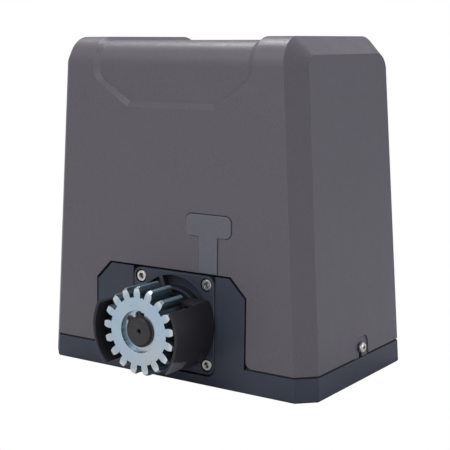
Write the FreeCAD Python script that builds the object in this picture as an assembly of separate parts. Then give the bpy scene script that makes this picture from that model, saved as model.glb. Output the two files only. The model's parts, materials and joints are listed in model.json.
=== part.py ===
import FreeCAD, Part
import math
import os

V = FreeCAD.Vector

# Frame: +X right along the pinion side, +Y from the pinion side to the rear, +Z up.
# Origin: middle of the base's underside. All lengths in mm.

# ---- outer form ----
BASE_WIDTH = 286.0          # across the sides at rim height
BASE_DEPTH = 175.0          # front to rear at rim height
RIM_HEIGHT = 20.5
TOTAL_HEIGHT = 296.0
SIDE_DRAFT = 0.060          # inward slope of the sides per mm of height
FACE_DRAFT = 0.0215         # inward slope of front and rear per mm of height
CORNER_CHAMFER = 15.0
FRONT_TOP_RADIUS = 24.0
REAR_TOP_RADIUS = 30.0
UNDERSIDE_CHAMFER = 1.5

# ---- cover ----
COVER_WALL = 3.0
SHADOW_GAP = 1.7            # open joint between cover edge and base rim
PANEL_HALF_WIDTH = 84.0     # sunken panel that wraps over the top
PANEL_BOTTOM = 236.0
PANEL_STRAIGHT_FROM = 268.0
PANEL_BOTTOM_HALF = 46.0
PANEL_DEPTH = 3.0
PANEL_SLOPE_WIDTH = 5.5
PANEL_CORNER_RUN = 8.0
OPENING_GAP = 1.7           # between the pads and the cover cut-outs
OPENING_CORNER_RADIUS = 6.0
INNER_RIB_THICKNESS = 2.0
INNER_RIB_FROM_SIDE = 43.0
INNER_RIB_DEPTH = 6.0
INNER_RIB_TOP = 225.0

# ---- T-shaped blanking plate ----
TEE_CENTRE_X = 42.0
TEE_HEAD_WIDTH = 46.6
TEE_HEAD_BOTTOM = 129.0
TEE_HEAD_TOP = 148.0
TEE_STEM_WIDTH = 19.0
TEE_CORNER_RADIUS = 6.0
TEE_POCKET_DEPTH = 1.4
TEE_PROUD = 0.9
TEE_GAP = 0.5
TEE_POCKET_SHIFT = 0.3      # the pocket is wider to the right and above

# ---- side tabs with the cover screws ----
TAB_Y = 2.5
TAB_HALF_WIDTH = 12.5
TAB_TOP = 39.0
TAB_CORNER_RADIUS = 7.0
TAB_DEPTH = 1.2
COVER_SCREW_Z = 29.5
COVER_SCREW_RADIUS = 2.5
COVER_SCREW_HEAD_RADIUS = 4.75
COVER_SCREW_HEAD_HEIGHT = 2.8
COVER_SCREW_LENGTH = 14.0
COVER_SCREW_LIFT_GAP = 0.9

# ---- base casting ----
FLOOR = 6.0
RIM_WALL = 6.0
LIP_CLEARANCE = 0.8
LIP_HEIGHT = 8.0
PAD_HALF_WIDTH = 79.5
PAD_TOP = 96.0
PAD_CHAMFER = 16.0
PAD_DEPTH = 9.5
CASE_TOP = 108.0
CASE_BACK = 20.0
ANCHOR_FROM_SIDE = 25.0
ANCHOR_FROM_FACE = 25.5
ANCHOR_SLOT_RADIUS = 5.5
ANCHOR_SLOT_LENGTH = 25.0
CABLE_FROM_CAPACITOR = 48.0
CABLE_FROM_REAR = 35.5
CABLE_HOLE_RADIUS = 20.0
GROMMET_BORE_RADIUS = 16.0
FLOOR_RIB_THICKNESS = 3.0
FLOOR_RIB_FROM_SIDE = 38.0
CROSS_RIB_Y = -34.0
CASE_WALL = 6.5
FLOOR_RIB_HEIGHT = 9.0
SEAL_THICKNESS = 1.4

# ---- drive train ----
AXIS_X = 6.0
AXIS_Z = 53.2
FIT = 0.03                  # radial clearance of parts held in bores
RUNNING_FIT = 0.05
PINION_MODULE = 4.0
PINION_TEETH = 17
FLANK_POINT_COUNT = 5
PINION_FACE = 28.0
PINION_REACH = 48.5         # pinion's front face ahead of the base's front
PINION_BORE_RADIUS = 12.5
COUNTERBORE_RADIUS = 18.2
COUNTERBORE_DEPTH = 3.5
TIP_CHAMFER_RADIAL = 1.6
TIP_CHAMFER_AXIAL = 2.4
PRESSURE_ANGLE = math.radians(20.0)
PINION_TOOTH_ANGLE = 91.2   # direction of one tooth, degrees from +X
SHAFT_RADIUS = 15.0
SHAFT_END = 11.5
CIRCLIP_THICKNESS = 1.2
CIRCLIP_GROOVE_RADIUS = 11.6
CIRCLIP_WIDTH = 2.6
CIRCLIP_GAP_ANGLE = 118.0
KEY_WIDTH = 8.0
KEY_HEIGHT = 7.0

# ---- gearbox end plate ----
PLATE_SIZE = 86.5
PLATE_X = 5.9
PLATE_SETBACK = 0.1
POCKET_DEPTH = 14.0
GASKET_THICKNESS = 0.5
PLATE_CORNER_RADIUS = 7.5
PLATE_GAP = 1.2
PLATE_RIGHT_GAP = 0.6
PLATE_SCREW_SPACING = 70.0
RECESS_RADIUS = 39.7        # ring-shaped groove round the shaft collar
RECESS_DEPTH = 6.8
COLLAR_FOOT_RADIUS = 30.3
COLLAR_RADIUS = 28.9
COLLAR_SETBACK = 0.3
SPOKE_WIDTH = 3.6
SPOKE_ANGLE = 109.5         # direction of one spoke, degrees from +X
SPOKE_COUNT = 4
INNER_RADIUS = 27.0
INNER_DEPTH = 6.5
SEAL_RADIUS = 23.5
SEAL_WIDTH = 6.0
BEARING_RADIUS = 31.0
BEARING_WIDTH = 16.0
FRONT_BEARING_INSET = 1.0    # behind the pocket's floor
REAR_BEARING_Y = -4.0
CHAMBER_RADIUS = 39.0
HUB_CLEARANCE = 0.1

# ---- pinion guard ----
GUARD_INNER_RADIUS = 42.0
GUARD_WALL = 2.5
GUARD_OVERHANG = 5.5        # ahead of the pinion's front face
GUARD_FLANGE = 3.0
GUARD_FLANGE_INNER_RADIUS = 36.0
GUARD_FOOT_INNER_RADIUS = 30.0
GUARD_FOOT_GAP = 1.0        # behind the pinion's rear face
GUARD_REVEAL = 1.5          # wing edge set in next to the plate
GUARD_RIGHT_TOP = 30.0      # wing end angles, degrees from +X
GUARD_RIGHT_BOTTOM = -42.5
GUARD_LEFT_TOP = 150.0
GUARD_LEFT_BOTTOM = 224.5
GUARD_BOSS_RADIUS = 3.2
GUARD_BOSS_CIRCLE = 41.4
GUARD_BOSS_ANGLE = 46.5     # below the horizontal, on either side
GUARD_PAD_LENGTH = 22.5

# ---- worm gear ----
WORM_MODULE = 2.25
WHEEL_TEETH = 30
WORM_PITCH_RADIUS = 12.5
WORM_Y = -15.0
WORM_TURNS = 5
WHEEL_FACE = 14.0
WHEEL_HUB_LENGTH = 22.0
WHEEL_HUB_RADIUS = 22.0
FLANK_CLEARANCE = 0.35
WORM_BEARING_RADIUS = 17.5
WORM_BEARING_WIDTH = 11.0
WORM_SHAFT_RADIUS = 7.5
WORM_LOWER_BEARING_Z = 12.0

# ---- motor ----
MOTOR_RADIUS = 52.0
MOTOR_FIN_RADIUS = 56.0
MOTOR_FINS = 24
FIN_THICKNESS = 2.0
HOUSING_WALL = 4.0
LOWER_CAP_HEIGHT = 14.0
HOUSING_HEIGHT = 84.0
UPPER_CAP_HEIGHT = 20.0
CORE_HEIGHT = 62.0
STATOR_SLOT_COUNT = 12
ROTOR_RADIUS = 27.0
AIR_GAP = 0.6
MOTOR_SCREW_CIRCLE = 44.0
MOTOR_SCREW_RADIUS = 2.5

# ---- electrics ----
CAPACITOR_FROM_SIDE = 57.0
CAPACITOR_FROM_CASE = 26.0
CAPACITOR_RADIUS = 18.0
CAPACITOR_HEIGHT = 78.0
TRANSFORMER_FROM_SIDE = 73.0
TRANSFORMER_FROM_REAR = 35.0
CORE_WIDTH = 56.0
CORE_STACK = 24.0
CORE_RISE = 48.0
CORE_LIMB = 9.0
COIL_LENGTH = 44.0
SHEET = 1.5
BRACKET_X = 60.5
BRACKET_HALF_LENGTH = 62.0
BRACKET_TOP = 222.0
BOARD_STANDOFF = 8.0
BOARD_THICKNESS = 1.6
BOARD_HALF_LENGTH = 60.0
BOARD_BOTTOM = 116.0
BOARD_TOP = 216.0
STANDOFF_RADIUS = 3.0
BOARD_SCREW_RADIUS = 1.5
BOARD_SCREW_HEAD_RADIUS = 2.7
BOARD_SCREW_HEAD_HEIGHT = 2.0
RELAY_DEPTH = 15.0
RELAY_WIDTH = 19.0
RELAY_HEIGHT = 15.0
RELAY_TOP = BOARD_TOP - 21.0
RELAY_FIRST_Y = -46.0
RELAY_PITCH = 22.0
RELAY_COUNT = 2
TERMINAL_COUNT = 14
TERMINAL_PITCH = 7.5
TERMINAL_BOTTOM = BOARD_BOTTOM + 12.0
TERMINAL_DEPTH = 12.0
TERMINAL_HEIGHT = 11.0
WIRE_MOUTH_WIDTH = 4.8
WIRE_MOUTH_HEIGHT = 6.0
WIRE_MOUTH_DEPTH = 5.0
WIRE_MOUTH_FROM_BOARD = 2.0
TERMINAL_SCREW_RADIUS = 2.0
TERMINAL_SCREW_HEIGHT = 7.5
TERMINAL_SCREW_DEPTH = 3.0
SWITCH_SIZE = 6.0
SWITCH_DEPTH = 3.5
SWITCH_FLOOR = 1.0
BUTTON_RADIUS = 1.8
BUTTON_REACH = 6.0
BUTTON_END_GAP = 0.1
BUTTON_TRAVEL = 0.8
BUTTON_PITCH = 14.0
BUTTON_Z = 168.0
BUTTON_FIRST_Y = 22.0

# ---- limit sensor ----
LIMIT_SENSOR_X = 30.0
LIMIT_SENSOR_WIDTH = 28.0
LIMIT_SENSOR_SETBACK = 1.0
LIMIT_SENSOR_DEPTH = 12.0
LIMIT_SENSOR_HEIGHT = 26.0
LIMIT_SENSOR_CORNER_RADIUS = 2.5

# ---- manual release ----
NECK_RADIUS = 17.0
SPINDLE_RADIUS = 8.0
REAR_PAD_RADIUS = 35.0
LEVER_GAP = 0.8
LEVER_THICKNESS = 11.0
LEVER_HUB_RADIUS = 20.0
LEVER_TIP_RADIUS = 9.0
LEVER_LENGTH = 36.0
BARREL_RADIUS = 7.0

# ---- derived places ----
COVER_EDGE = RIM_HEIGHT + SHADOW_GAP
PAD_BACK = -BASE_DEPTH / 2 + PAD_DEPTH
CASE_FRONT = PAD_BACK - 1
ANCHOR_X = BASE_WIDTH / 2 - ANCHOR_FROM_SIDE
ANCHOR_Y = BASE_DEPTH / 2 - ANCHOR_FROM_FACE
CAPACITOR_X = -BASE_WIDTH / 2 + CAPACITOR_FROM_SIDE
CAPACITOR_Y = CASE_BACK + CAPACITOR_FROM_CASE
CABLE_X = CAPACITOR_X + CABLE_FROM_CAPACITOR
CABLE_Y = BASE_DEPTH / 2 - CABLE_FROM_REAR
TRANSFORMER_X = BASE_WIDTH / 2 - TRANSFORMER_FROM_SIDE
TRANSFORMER_Y = BASE_DEPTH / 2 - TRANSFORMER_FROM_REAR
PLATE_FRONT = -BASE_DEPTH / 2 + PLATE_SETBACK
POCKET_FLOOR = -BASE_DEPTH / 2 + POCKET_DEPTH
FRONT_BEARING_Y = POCKET_FLOOR + FRONT_BEARING_INSET
PINION_FRONT = -BASE_DEPTH / 2 - PINION_REACH
GUARD_FRONT = PINION_FRONT - GUARD_OVERHANG
PINION_BACK = PINION_FRONT + PINION_FACE
CENTRE_DISTANCE = WORM_MODULE * WHEEL_TEETH / 2 + WORM_PITCH_RADIUS
WORM_X = AXIS_X - CENTRE_DISTANCE
PLATE_BACK = POCKET_FLOOR - GASKET_THICKNESS
CAP_TOP = CASE_TOP + LOWER_CAP_HEIGHT
HOUSING_TOP = CAP_TOP + HOUSING_HEIGHT
MOTOR_TOP = HOUSING_TOP + UPPER_CAP_HEIGHT
CORE_BOTTOM = CAP_TOP + (HOUSING_HEIGHT - CORE_HEIGHT) / 2
CORE_TOP = CORE_BOTTOM + CORE_HEIGHT
BRACKET_FACE = BRACKET_X + SHEET
BOARD_X = BRACKET_FACE + BOARD_STANDOFF
BOARD_FACE = BOARD_X + BOARD_THICKNESS
TWO_MITRE = 2 - math.sqrt(2)


# ---------------------------------------------------------------- helpers
def side_x(z, inset=0.0):
    """Half width of the body at height z, inside the surface by inset."""
    return BASE_WIDTH / 2 - inset - SIDE_DRAFT * (z - RIM_HEIGHT)


def front_y(z, inset=0.0):
    """Y of the front face at height z, inside the surface by inset."""
    return -BASE_DEPTH / 2 + inset + FACE_DRAFT * (z - RIM_HEIGHT)


def box(x0, x1, y0, y1, z0, z1):
    return Part.makeBox(x1 - x0, y1 - y0, z1 - z0, V(x0, y0, z0))


def cylinder_y(x, z, radius, y0, y1):
    return Part.makeCylinder(radius, y1 - y0, V(x, y0, z), V(0, 1, 0))


def cylinder_z(x, y, radius, z0, z1):
    return Part.makeCylinder(radius, z1 - z0, V(x, y, z0), V(0, 0, 1))


def cylinder_x(y, z, radius, x0, x1):
    return Part.makeCylinder(radius, x1 - x0, V(x0, y, z), V(1, 0, 0))


def polygon_prism(points, direction):
    """A closed polygon of points, extruded along direction."""
    return Part.Face(Part.makePolygon(points + [points[0]])).extrude(direction)


def union(shapes):
    return shapes[0].multiFuse(shapes[1:]).removeSplitter() if len(shapes) > 1 else shapes[0]


def rounded_plate(x0, x1, z0, z1, radius, y0, y1):
    """A rectangular plate facing Y with rounded corners."""
    plate = box(x0, x1, y0, y1, z0, z1)
    corners = [e for e in plate.Edges if abs(e.Length - (y1 - y0)) < 1e-6
               and abs(e.Vertexes[0].Y - e.Vertexes[1].Y) > 1e-6]
    return plate.makeFillet(radius, corners)


def footprint(z, inset):
    """The eight-cornered outline of the base at height z."""
    x, y = side_x(z, inset), -front_y(z, inset)
    c = CORNER_CHAMFER - inset * TWO_MITRE
    corners = [(x - c, -y), (x, -y + c), (x, y - c), (x - c, y),
               (-x + c, y), (-x, y - c), (-x, -y + c), (-x + c, -y)]
    points = [V(px, py, z) for px, py in corners]
    return Part.makePolygon(points + [points[0]])


def footprint_prism(z0, z1, inset=0.0):
    return Part.makeLoft([footprint(z0, inset), footprint(z1, inset)], True, True)


def pad_outline(half_width, top, chamfer):
    """Corners of a pad seen from the front, as (x, z)."""
    return [(-half_width, 0), (half_width, 0), (half_width, top - chamfer),
            (half_width - chamfer, top), (-half_width + chamfer, top), (-half_width, top - chamfer)]


def pad_prism(half_width, top, chamfer, y0, y1):
    points = [V(x, y0, z) for x, z in pad_outline(half_width, top, chamfer)]
    return polygon_prism(points, V(0, y1 - y0, 0))


def arch_prism(radius, y0, y1):
    """The release pad's outline: straight sides and a round top about the drive axis."""
    lower = box(AXIS_X - radius, AXIS_X + radius, y0, y1, 0, AXIS_Z)
    return union([lower, cylinder_y(AXIS_X, AXIS_Z, radius, y0, y1)])


def front_sheet(inset0, inset1, x0, x1, z0, z1):
    """A sheet that follows the sloped front face, between two depths below it."""
    points = [V(x0, front_y(z0, inset0), z0), V(x0, front_y(z0, inset1), z0),
              V(x0, front_y(z1, inset1), z1), V(x0, front_y(z1, inset0), z1)]
    return polygon_prism(points, V(x1 - x0, 0, 0))


def side_sheet(inset0, inset1, y0, y1, z0, z1):
    """A sheet that follows the sloped right side, between two depths below it."""
    points = [V(side_x(z0, inset0), y0, z0), V(side_x(z0, inset1), y0, z0),
              V(side_x(z1, inset1), y0, z1), V(side_x(z1, inset0), y0, z1)]
    return polygon_prism(points, V(0, y1 - y0, 0))


def mirrored_x(shape):
    return shape.mirror(V(0, 0, 0), V(1, 0, 0))


def mirrored_y(shape):
    return shape.mirror(V(0, 0, 0), V(0, 1, 0))


# ---------------------------------------------------------------- cover
def side_profile(z0, inset, x0, x1):
    """Front-to-rear section with its two rounded top edges, extruded from x0 to x1."""
    top = TOTAL_HEIGHT - inset
    y_low, y_top = front_y(z0, inset), front_y(top, inset)
    points = [V(x0, y_low, z0), V(x0, y_top, top), V(x0, -y_top, top), V(x0, -y_low, z0)]
    solid = polygon_prism(points, V(x1 - x0, 0, 0))
    for sign, radius in ((1, FRONT_TOP_RADIUS), (-1, REAR_TOP_RADIUS)):
        edge = [e for e in solid.Edges if abs(e.CenterOfMass.z - top) < 1e-4
                and abs(e.CenterOfMass.y - sign * y_top) < 1e-4 and e.Length > 0.99 * (x1 - x0)]
        solid = solid.makeFillet(radius - inset, edge)
    return solid


def cover_form(z0, inset):
    """The cover's outer form from z0 up, shrunk by inset: drafted, rounded and bevelled."""
    reach = BASE_WIDTH / 2 + CORNER_CHAMFER
    z1 = TOTAL_HEIGHT + CORNER_CHAMFER
    slab = polygon_prism([V(-side_x(z0, inset), -BASE_DEPTH, z0), V(side_x(z0, inset), -BASE_DEPTH, z0),
                          V(side_x(z1, inset), -BASE_DEPTH, z1), V(-side_x(z1, inset), -BASE_DEPTH, z1)],
                         V(0, 2 * BASE_DEPTH, 0))
    form = side_profile(z0, inset, -reach, reach).common(slab)
    bevel = []
    for e in form.Edges:
        ends = [v.Point for v in e.Vertexes]
        on_side = all(abs(abs(p.x) - side_x(p.z, inset)) < 1e-3 for p in ends)
        if on_side and ends[0].x * ends[-1].x > 0 and e.CenterOfMass.z > z0 + 0.01:
            bevel.append(e)
    return form.makeChamfer(CORNER_CHAMFER - inset * TWO_MITRE, bevel)


def panel_outline(inset, depth):
    """Lower end of the sunken panel on the front face, shrunk by inset, at a depth."""
    half = PANEL_HALF_WIDTH - inset
    low = PANEL_BOTTOM + 0.8 * inset
    low_half = PANEL_BOTTOM_HALF - 0.25 * inset
    turn_x = half - PANEL_CORNER_RUN
    turn_z = PANEL_STRAIGHT_FROM - 1.5 * PANEL_CORNER_RUN
    high = TOTAL_HEIGHT - FRONT_TOP_RADIUS

    def at(x, z):
        return V(x, front_y(z, depth), z)

    mid_x, mid_z = half - 0.28 * PANEL_CORNER_RUN, PANEL_STRAIGHT_FROM - 0.95 * PANEL_CORNER_RUN
    return Part.Wire([
        Part.makeLine(at(-low_half, low), at(low_half, low)),
        Part.makeLine(at(low_half, low), at(turn_x, turn_z)),
        Part.Arc(at(turn_x, turn_z), at(mid_x, mid_z), at(half, PANEL_STRAIGHT_FROM)).toShape(),
        Part.makeLine(at(half, PANEL_STRAIGHT_FROM), at(half, high)),
        Part.makeLine(at(half, high), at(-half, high)),
        Part.makeLine(at(-half, high), at(-half, PANEL_STRAIGHT_FROM)),
        Part.Arc(at(-half, PANEL_STRAIGHT_FROM), at(-mid_x, mid_z), at(-turn_x, turn_z)).toShape(),
        Part.makeLine(at(-turn_x, turn_z), at(-low_half, low))])


def sunken_panel():
    """What is taken away for the sunken panel: the band over the top and its two lower ends."""
    high = TOTAL_HEIGHT - FRONT_TOP_RADIUS
    rear_high = TOTAL_HEIGHT - REAR_TOP_RADIUS
    over = 1.0
    reach = PANEL_HALF_WIDTH + over * PANEL_SLOPE_WIDTH / PANEL_DEPTH
    floor_half = PANEL_HALF_WIDTH - PANEL_SLOPE_WIDTH

    def section(inset, x):
        solid = side_profile(high - 60, inset, x, x + 1)
        face = [f for f in solid.Faces if abs(f.CenterOfMass.x - x) < 1e-4][0]
        return face.OuterWire

    left = Part.makeLoft([section(-over, -reach), section(PANEL_DEPTH, -floor_half)], True, True)
    middle = side_profile(high - 60, PANEL_DEPTH, -floor_half, floor_half)
    kept = union([left, middle, mirrored_x(left)])
    slab = side_profile(high - 60, -over, -reach, reach)
    band = slab.cut(kept)
    above_front = box(-reach, reach, -BASE_DEPTH, 0, high - 0.01, TOTAL_HEIGHT + 2)
    above_rear = box(-reach, reach, 0, BASE_DEPTH, rear_high, TOTAL_HEIGHT + 2)
    slope = PANEL_SLOPE_WIDTH / PANEL_DEPTH
    lower = Part.makeLoft([panel_outline(-over * slope, -over),
                           panel_outline(PANEL_SLOPE_WIDTH, PANEL_DEPTH)], True, True)
    return union([band.common(above_front), band.common(above_rear), lower, mirrored_y(lower)])


def tab_outline(half_width, z0, z1, radius):
    """A side tab seen from the side, as a prism right through the wall."""
    x0, x1 = side_x(z0) - 4 * COVER_WALL, side_x(z0) + COVER_WALL
    tab = box(x0, x1, TAB_Y - half_width, TAB_Y + half_width, z0, z1)
    top_edges = [e for e in tab.Edges if abs(e.CenterOfMass.z - z1) < 1e-6
                 and abs(e.Length - (x1 - x0)) < 1e-6]
    return tab.makeFillet(radius, top_edges)


def tee_prism(grow):
    """The T-shaped outline, grown all round, right through the front wall."""
    head = rounded_plate(TEE_CENTRE_X - TEE_HEAD_WIDTH / 2 - grow, TEE_CENTRE_X + TEE_HEAD_WIDTH / 2 + grow,
                         TEE_HEAD_BOTTOM - grow, TEE_HEAD_TOP + grow, TEE_CORNER_RADIUS + grow,
                         -BASE_DEPTH / 2 - 5, -BASE_DEPTH / 2 + 15)
    half = TEE_STEM_WIDTH / 2 + grow
    stem = box(TEE_CENTRE_X - half, TEE_CENTRE_X + half, -BASE_DEPTH / 2 - 5, -BASE_DEPTH / 2 + 15,
               PAD_TOP + OPENING_GAP, TEE_HEAD_BOTTOM + TEE_CORNER_RADIUS)
    return union([head, stem])


def tee_sheet(inset0, inset1):
    return front_sheet(inset0, inset1, 0, PAD_HALF_WIDTH, PAD_TOP, TEE_HEAD_TOP + 5)


def make_cover():
    """Moulded shell: outer form less its offset, with panel, openings, tabs and inner ribs."""
    shell = cover_form(COVER_EDGE, 0).cut(sunken_panel())
    inner = cover_form(0, COVER_WALL)
    thick = 2 * PANEL_SLOPE_WIDTH
    panel_zone = box(-PANEL_HALF_WIDTH - thick / 2, PANEL_HALF_WIDTH + thick / 2, -BASE_DEPTH, BASE_DEPTH,
                     PANEL_BOTTOM - COVER_WALL, TOTAL_HEIGHT)
    deeper = cover_form(0, COVER_WALL + PANEL_DEPTH)
    inner = inner.cut(panel_zone).fuse(deeper.common(panel_zone))
    tee_zone = tee_prism(COVER_WALL).common(tee_sheet(COVER_WALL - 0.5, COVER_WALL + TEE_POCKET_DEPTH))
    cavity = inner.cut(tee_zone)
    shell = shell.cut(cavity)
    ribs = []
    rib_x = BASE_WIDTH / 2 - INNER_RIB_FROM_SIDE
    for x in (-rib_x, rib_x):
        rib = box(x - INNER_RIB_THICKNESS / 2, x + INNER_RIB_THICKNESS / 2, -BASE_DEPTH, BASE_DEPTH,
                  COVER_EDGE + 2 * LIP_HEIGHT, INNER_RIB_TOP)
        band = cover_form(0, COVER_WALL - 0.5).cut(cover_form(0, COVER_WALL + INNER_RIB_DEPTH))
        ribs.append(rib.common(band))
    shell = shell.multiFuse(ribs)
    front_cut = pad_prism(PAD_HALF_WIDTH + OPENING_GAP, PAD_TOP + OPENING_GAP, PAD_CHAMFER,
                          -BASE_DEPTH, PAD_BACK)
    rear_cut = arch_prism(REAR_PAD_RADIUS + OPENING_GAP, BASE_DEPTH / 2 - 4 * COVER_WALL, BASE_DEPTH)
    shell = shell.cut(front_cut).cut(rear_cut)
    corner_xs = [-PAD_HALF_WIDTH - OPENING_GAP, PAD_HALF_WIDTH + OPENING_GAP,
                 AXIS_X - REAR_PAD_RADIUS - OPENING_GAP, AXIS_X + REAR_PAD_RADIUS + OPENING_GAP]
    corners = [e for e in shell.Edges if abs(e.CenterOfMass.z - COVER_EDGE) < 1e-3
               and abs(e.Vertexes[0].X - e.Vertexes[-1].X) < 1e-3
               and min(abs(e.CenterOfMass.x - x) for x in corner_xs) < 1e-3]
    shell = shell.makeFillet(OPENING_CORNER_RADIUS, corners)
    tee_pocket = tee_prism(TEE_GAP)
    tee_pocket.translate(V(TEE_POCKET_SHIFT, 0, TEE_POCKET_SHIFT))
    tee_pocket = union([tee_pocket, tee_prism(TEE_GAP - TEE_POCKET_SHIFT)])
    shell = shell.cut(tee_pocket.common(tee_sheet(-1, TEE_POCKET_DEPTH)))
    recess = tab_outline(TAB_HALF_WIDTH, RIM_HEIGHT, TAB_TOP, TAB_CORNER_RADIUS)
    recess_cut = recess.common(side_sheet(-1, TAB_DEPTH, -BASE_DEPTH, BASE_DEPTH, RIM_HEIGHT, TAB_TOP + 1))
    foot = recess.common(side_sheet(TAB_DEPTH, COVER_WALL, -BASE_DEPTH, BASE_DEPTH, RIM_HEIGHT,
                                    COVER_EDGE + 1))
    slot_half = COVER_SCREW_RADIUS + 0.4
    slot = tab_outline(slot_half, 0, COVER_SCREW_Z + slot_half, slot_half - 0.01)
    for side in (lambda s: s, mirrored_x):
        shell = shell.cut(side(recess_cut)).fuse(side(foot)).cut(side(slot))
    return shell.removeSplitter()


def make_tee_plate():
    plate = tee_prism(0).common(tee_sheet(-TEE_PROUD, TEE_POCKET_DEPTH))
    front = [f for f in plate.Faces if f.Area > 500 and f.normalAt(0, 0).y < -0.9][0]
    return plate.makeChamfer(TEE_PROUD * 0.8, front.OuterWire.Edges)


# ---------------------------------------------------------------- base casting
def plate_screw_places():
    half = PLATE_SCREW_SPACING / 2
    return [(AXIS_X + sx * half, AXIS_Z + sz * half) for sx in (-1, 1) for sz in (-1, 1)]


def anchor_slot(x, y):
    run = ANCHOR_SLOT_LENGTH / 2 - ANCHOR_SLOT_RADIUS
    ends = [cylinder_z(x + s * run, y, ANCHOR_SLOT_RADIUS, -1, FLOOR + 1) for s in (-1, 1)]
    middle = box(x - run, x + run, y - ANCHOR_SLOT_RADIUS, y + ANCHOR_SLOT_RADIUS, -1, FLOOR + 1)
    return union([middle] + ends)


def make_base():
    """Die-cast pan with the raised gear case, its front pad, the release neck and the rear pad."""
    pan = footprint_prism(0, RIM_HEIGHT)
    underside = [e for e in pan.Edges if all(abs(v.Z) < 1e-6 for v in e.Vertexes)]
    pan = pan.makeChamfer(UNDERSIDE_CHAMFER, underside)
    pan = pan.cut(footprint_prism(FLOOR, RIM_HEIGHT + 1, RIM_WALL))
    lip_top = RIM_HEIGHT + LIP_HEIGHT
    lip_inset = COVER_WALL + LIP_CLEARANCE
    lip = footprint_prism(FLOOR, lip_top, lip_inset).cut(footprint_prism(FLOOR - 1, lip_top + 1, RIM_WALL))
    pad_form = footprint_prism(UNDERSIDE_CHAMFER, CASE_TOP)
    pad = pad_form.common(pad_prism(PAD_HALF_WIDTH, PAD_TOP, PAD_CHAMFER, -BASE_DEPTH, PAD_BACK))
    case = pad_prism(PAD_HALF_WIDTH, CASE_TOP, PAD_CHAMFER, CASE_FRONT, CASE_BACK)
    rear_pad = pad_form.common(arch_prism(REAR_PAD_RADIUS, BASE_DEPTH / 2 - RIM_WALL - 6, BASE_DEPTH))
    neck = cylinder_y(AXIS_X, AXIS_Z, NECK_RADIUS, CASE_BACK - 1, BASE_DEPTH / 2 - RIM_WALL)
    parts = [pan, lip, pad, case, rear_pad, neck]
    post = footprint_prism(FLOOR - 1, TAB_TOP - 1, lip_inset)
    post = post.common(box(side_x(0) - 2 * COVER_SCREW_LENGTH + 8, side_x(0), TAB_Y - 9, TAB_Y + 9,
                           FLOOR - 1, TAB_TOP - 1))
    parts += [post, mirrored_x(post)]
    rib_x = BASE_WIDTH / 2 - FLOOR_RIB_FROM_SIDE
    for x in (-rib_x, rib_x):
        parts.append(box(x - FLOOR_RIB_THICKNESS / 2, x + FLOOR_RIB_THICKNESS / 2, -ANCHOR_Y + 12,
                         CASE_BACK, FLOOR - 1, FLOOR + FLOOR_RIB_HEIGHT))
    for sx in (-1, 1):
        x0, x1 = sorted((sx * (PAD_HALF_WIDTH - 2), sx * (side_x(0) - RIM_WALL + 1)))
        parts.append(box(x0, x1, CROSS_RIB_Y - FLOOR_RIB_THICKNESS / 2, CROSS_RIB_Y + FLOOR_RIB_THICKNESS / 2,
                         FLOOR - 1, FLOOR + FLOOR_RIB_HEIGHT))
    base = union(parts)
    half = PLATE_SIZE / 2 + PLATE_GAP
    right = PLATE_X + PLATE_SIZE / 2 + PLATE_RIGHT_GAP
    cuts = [rounded_plate(PLATE_X - half, right, PAD_TOP - PLATE_SIZE - PLATE_GAP, CASE_TOP + 30,
                          PLATE_CORNER_RADIUS + PLATE_GAP, -BASE_DEPTH, POCKET_FLOOR)
            .common(box(-BASE_WIDTH, BASE_WIDTH, -BASE_DEPTH, BASE_DEPTH, 0, PAD_TOP + PLATE_GAP)),
            cylinder_y(AXIS_X, AXIS_Z, CHAMBER_RADIUS, POCKET_FLOOR - 1, REAR_BEARING_Y + 6),
            cylinder_y(AXIS_X, AXIS_Z, BEARING_RADIUS + FIT, REAR_BEARING_Y, REAR_BEARING_Y + BEARING_WIDTH),
            cylinder_y(AXIS_X, AXIS_Z, SPINDLE_RADIUS + RUNNING_FIT, 0, BASE_DEPTH),
            cylinder_z(WORM_X, WORM_Y, WORM_BEARING_RADIUS + FIT, WORM_LOWER_BEARING_Z, CASE_TOP + 1),
            cylinder_z(CABLE_X, CABLE_Y, CABLE_HOLE_RADIUS, -1, FLOOR + 1)]
    core_x0, core_x1 = AXIS_X + CHAMBER_RADIUS + CASE_WALL, PAD_HALF_WIDTH - CASE_WALL
    cuts.append(box(core_x0, core_x1, CROSS_RIB_Y - 20, CASE_BACK - CASE_WALL, -1,
                    CASE_TOP - 2 * CASE_WALL))
    for x, z in plate_screw_places():
        cuts.append(cylinder_y(x, z, 3 + RUNNING_FIT, POCKET_FLOOR - 1, POCKET_FLOOR + 16))
    for x, y in motor_screw_places():
        cuts.append(cylinder_z(x, y, MOTOR_SCREW_RADIUS + RUNNING_FIT, CASE_TOP - 13, CASE_TOP + 1))
    for sx in (-1, 1):
        for sy in (-1, 1):
            cuts.append(anchor_slot(sx * ANCHOR_X, sy * ANCHOR_Y))
    hole = cylinder_x(TAB_Y, COVER_SCREW_Z, COVER_SCREW_RADIUS + RUNNING_FIT,
                      side_x(0) - 2 * COVER_SCREW_LENGTH + 10, side_x(0) + 1)
    cuts += [hole, mirrored_x(hole)]
    for cut in cuts:
        base = base.cut(cut)
    return base.removeSplitter()


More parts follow.
